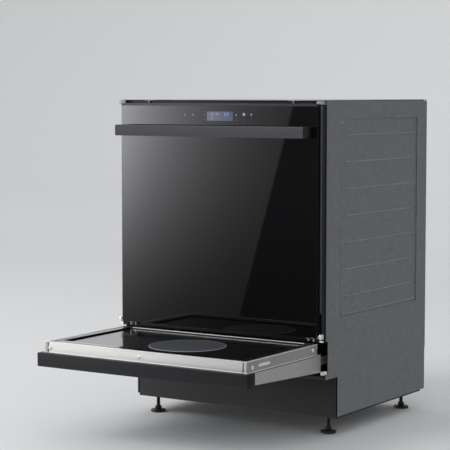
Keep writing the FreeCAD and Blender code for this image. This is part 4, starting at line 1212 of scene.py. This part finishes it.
rounded("circulation_pump", 1.0, cast_alloy, "cabinet", "motor_cast", longer=3)
fins = bmesh.new()
for k in range(12):
    turn(fins, (146 + 7 * k, PUMP_Y, PUMP_Z), [(36.5, 0), (39, 0.4), (39, 2.2), (36.5, 2.6)],
         "x", 48, ring=True)
for a, b in around(8, 40, 0.5):
    turn(fins, (133.6, PUMP_Y + a, PUMP_Z + b), [(0, 0), (2.4, 0), (2.4, 2.2), (0, 2.6)],
         "x", 12)
finished("pump_fins", fins, cast_alloy, "cabinet", "motor_cast")
rounded("control_board", 0.3, board_green, "door", "board", longer=4)
chips = bmesh.new()
for x, z, w, h in ((-140, 752, 12, 9), (-60, 753, 14, 14), (-40, 753, 9, 9),
                   (60, 754, 16, 12), (110, 754, 20, 9)):
    block(chips, (x, x + w), (11.5, 13.6), (z, z + h), 0.25)
for k in range(10):
    block(chips, (112 + 3 * k, 113.4 + 3 * k), (11.5, 19), (770, 776), 0.3)
finished("board_chips", chips, base_plastic, "door", "board")
relays = bmesh.new()
for x in (-120, -90, 80):
    block(relays, (x - 0.1, x + 18.1), (11.7, 27.1), (756.9, 777.1), 0.8, 3)
finished("board_relays", relays, white_plastic, "door", "board")
print("pump, fins, board")

# %% [markdown]
# ## Floor and backdrop
# A pale sweep stands in for the studio: a floor that curves up into a wall behind the object. It
# is not part of the object. Mirrors don't see it, because a painted surround is made for them in
# the next step.

# %% Studio sweep
SWEEP_HALF, SWEEP_FRONT, SWEEP_BEND, SWEEP_WALL = 14.0, -9.0, 2.0, 9.0    # m

backdrop = new_finish("pale_studio_paper", Base_Color="#e7e7e7", Roughness=0.9)[0]
sweep = bmesh.new()
bend = [math.radians(k * 6) for k in range(16)]
profile = [(SWEEP_FRONT, 0.0)] + [
    (SWEEP_WALL - SWEEP_BEND + SWEEP_BEND * math.sin(a), SWEEP_BEND - SWEEP_BEND * math.cos(a))
    for a in bend] + [(SWEEP_WALL, 9.0)]
left, right = [[sweep.verts.new((x, y, z)) for y, z in profile]
               for x in (-SWEEP_HALF, SWEEP_HALF)]
for k in range(len(profile) - 1):
    sweep.faces.new((left[k], right[k], right[k + 1], left[k + 1]))
studio_sweep = finish_mesh("studio_sweep", sweep, backdrop, limit=60)
studio_sweep.visible_glossy = False
print("sweep from y", SWEEP_FRONT, "m to the wall at", SWEEP_WALL, "m")

# %% [markdown]
# ## A painted surround for reflections
# Black glass shows nothing but its surroundings, so they matter more than its own colour. Studios
# put a large soft box on one side and black cloth on the other: the pane then shows a gradient
# that ends in one clean diagonal edge. The world does the same here, for glossy rays only, as a
# function of direction: bearing is measured from the front towards the left, height from the
# horizon, both in degrees. The recipe is a table of sums. Each row names its result, which later
# rows use, and becomes one node: a RAMP goes smoothly from one value to another. between() writes
# the rows of a value that is 1 in a range, and mixed() the rows that mix two brightnesses.

# %% Recipe of the surround
DEGREES = 57.2958                            # degrees in a radian


def between(name, value, *ends):
    # 1 between two ramps and 0 outside them
    return ((name + "_rise", "RAMP", value, *ends[:2]),
            (name + "_fall", "RAMP", value, *ends[2:], 1.0, 0.0),
            (name, "MULTIPLY", name + "_rise", name + "_fall"))


def mixed(name, share, first, second):
    return ((name + "_gap", "SUBTRACT", second, first),
            (name, "MULTIPLY_ADD", share, name + "_gap", first))


surround = (
    # the direction of the mirrored ray
    ("left", "MULTIPLY", "x", -1.0),
    ("forward", "MULTIPLY", "y", -1.0),
    ("turned", "ARCTAN2", "left", "forward"),
    ("bearing", "MULTIPLY", "turned", DEGREES),
    ("raised", "ARCSINE", "z"),
    ("height", "MULTIPLY", "raised", DEGREES),
    # the room: bright on the left, brighter overhead, and a soft box high in front
    ("walls", "RAMP", "x", -0.25, 0.35, 0.95, 0.2),
    ("overhead", "RAMP", "height", 20.0, 70.0),
    *mixed("room", "overhead", "walls", 1.25),
    *between("in_front", "bearing", -50.0, -25.0, 62.0, 85.0),
    *between("high", "height", 20.0, 27.0, 45.0, 65.0),
    ("high_box", "MULTIPLY", "in_front", "high"),
    ("high_light", "RAMP", "bearing", -20.0, 50.0, 1.0, 2.4),
    *mixed("lit_room", "high_box", "room", "high_light"),
    # the low soft box, whose glow falls away from 36 degrees and towards the floor
    ("from_peak", "SUBTRACT", "bearing", 36.0),
    ("falling", "MULTIPLY", "from_peak", 0.52),
    ("glow", "POWER", 2.71828, "falling"),
    ("held_glow", "MINIMUM", "glow", 1.5),
    ("rising", "RAMP", "height", -9.0, 0.6, 0.12, 1.0),
    ("rise", "POWER", "rising", 1.5),
    ("shaped_glow", "MULTIPLY", "held_glow", "rise"),
    ("strong_glow", "MULTIPLY", "shaped_glow", 2.2),
    ("veil", "RAMP", "height", -8.0, 0.0, 0.05, 0.08),
    ("veiled_glow", "ADD", "strong_glow", "veil"),
    ("dimming", "RAMP", "height", 1.0, 4.0, 1.0, 0.3),
    ("soft_box", "MULTIPLY", "veiled_glow", "dimming"),
    # the part that the door glass mirrors is a little brighter
    *between("round", "bearing", 26.5, 28.5, 38.5, 41.0),
    *between("up", "height", -11.0, -9.0, 0.2, 1.5),
    ("facing", "MULTIPLY", "round", "up"),
    ("brighter", "MULTIPLY_ADD", "facing", 1.54, 1.0),
    ("bright_box", "MULTIPLY", "soft_box", "brighter"),
    ("cloth", "RAMP", "height", -8.0, 0.0, 0.018, 0.045),
    ("black_cloth", "MULTIPLY", "cloth", "brighter"),
    # box and cloth meet in one leaning edge, in a band round the horizon
    ("edge", "MULTIPLY_ADD", "height", -0.2532, 30.57),
    ("from_edge", "SUBTRACT", "bearing", "edge"),
    ("past_edge", "RAMP", "from_edge", -0.05, 0.05),
    *mixed("studio", "past_edge", "black_cloth", "bright_box"),
    *between("level", "height", -16.0, -11.0, 20.0, 24.0),
    ("band", "MULTIPLY", "in_front", "level"),
    *mixed("painted", "band", "lit_room", "studio"))
print(len(surround), "rows in the recipe")

# %% World and reflections
world = bpy.data.worlds.new("studio_world")
scene.world = world
world.use_nodes = True
tree = world.node_tree
tree.nodes.clear()

direction = add(tree, "ShaderNodeTexCoord").outputs["Generated"]
parts = add(tree, "ShaderNodeSeparateXYZ", {"Vector": direction}).outputs
known = {"x": parts["X"], "y": parts["Y"], "z": parts["Z"]}
for name, action, *items in surround:
    items = [known.get(item, item) for item in items]
    if action == "RAMP":
        known[name] = add(tree, "ShaderNodeMapRange", items, interpolation_type="SMOOTHSTEP")
    else:
        known[name] = add(tree, "ShaderNodeMath", items, operation=action)

plain = add(tree, "ShaderNodeBackground", {"Color": tint("#e9ebed"), "Strength": 0.8})
mirror = add(tree, "ShaderNodeBackground", {"Color": tint("#fbfcff"),
                                            "Strength": known["painted"]})
glossy = add(tree, "ShaderNodeLightPath").outputs["Is Glossy Ray"]
choice = add(tree, "ShaderNodeMixShader", (glossy, plain, mirror))
add(tree, "ShaderNodeOutputWorld", {"Surface": choice})
print("world has", len(tree.nodes), "nodes")

# %% [markdown]
# ## Two soft lamps
# A large area lamp from the upper left gives the soft shadow under the drawer. A second one behind
# the object lights only the wall. Both are left out of the mirrors, where the painted surround
# already is.

# %% Lamps
KEY_SPOT, AIM = Vector((-2.6, -3.0, 3.2)), Vector((0, 0, 0.4))

for name, size, power, spot, turned in (
        ("key_light", 2.5, 95, KEY_SPOT, (AIM - KEY_SPOT).to_track_quat("-Z", "Y").to_euler()),
        ("wall_light", 7.0, 170, (-2.0, 3.0, 8.5), (math.radians(90), 0, 0))):
    lamp = bpy.data.objects.new(name, bpy.data.lights.new(name, "AREA"))
    scene.collection.objects.link(lamp)
    lamp.data.size, lamp.data.energy = size, power
    lamp.location, lamp.rotation_euler = spot, turned
    lamp.visible_glossy = False
    print(name, "at", [round(v, 1) for v in lamp.location])
scene.view_settings.view_transform = "Standard"
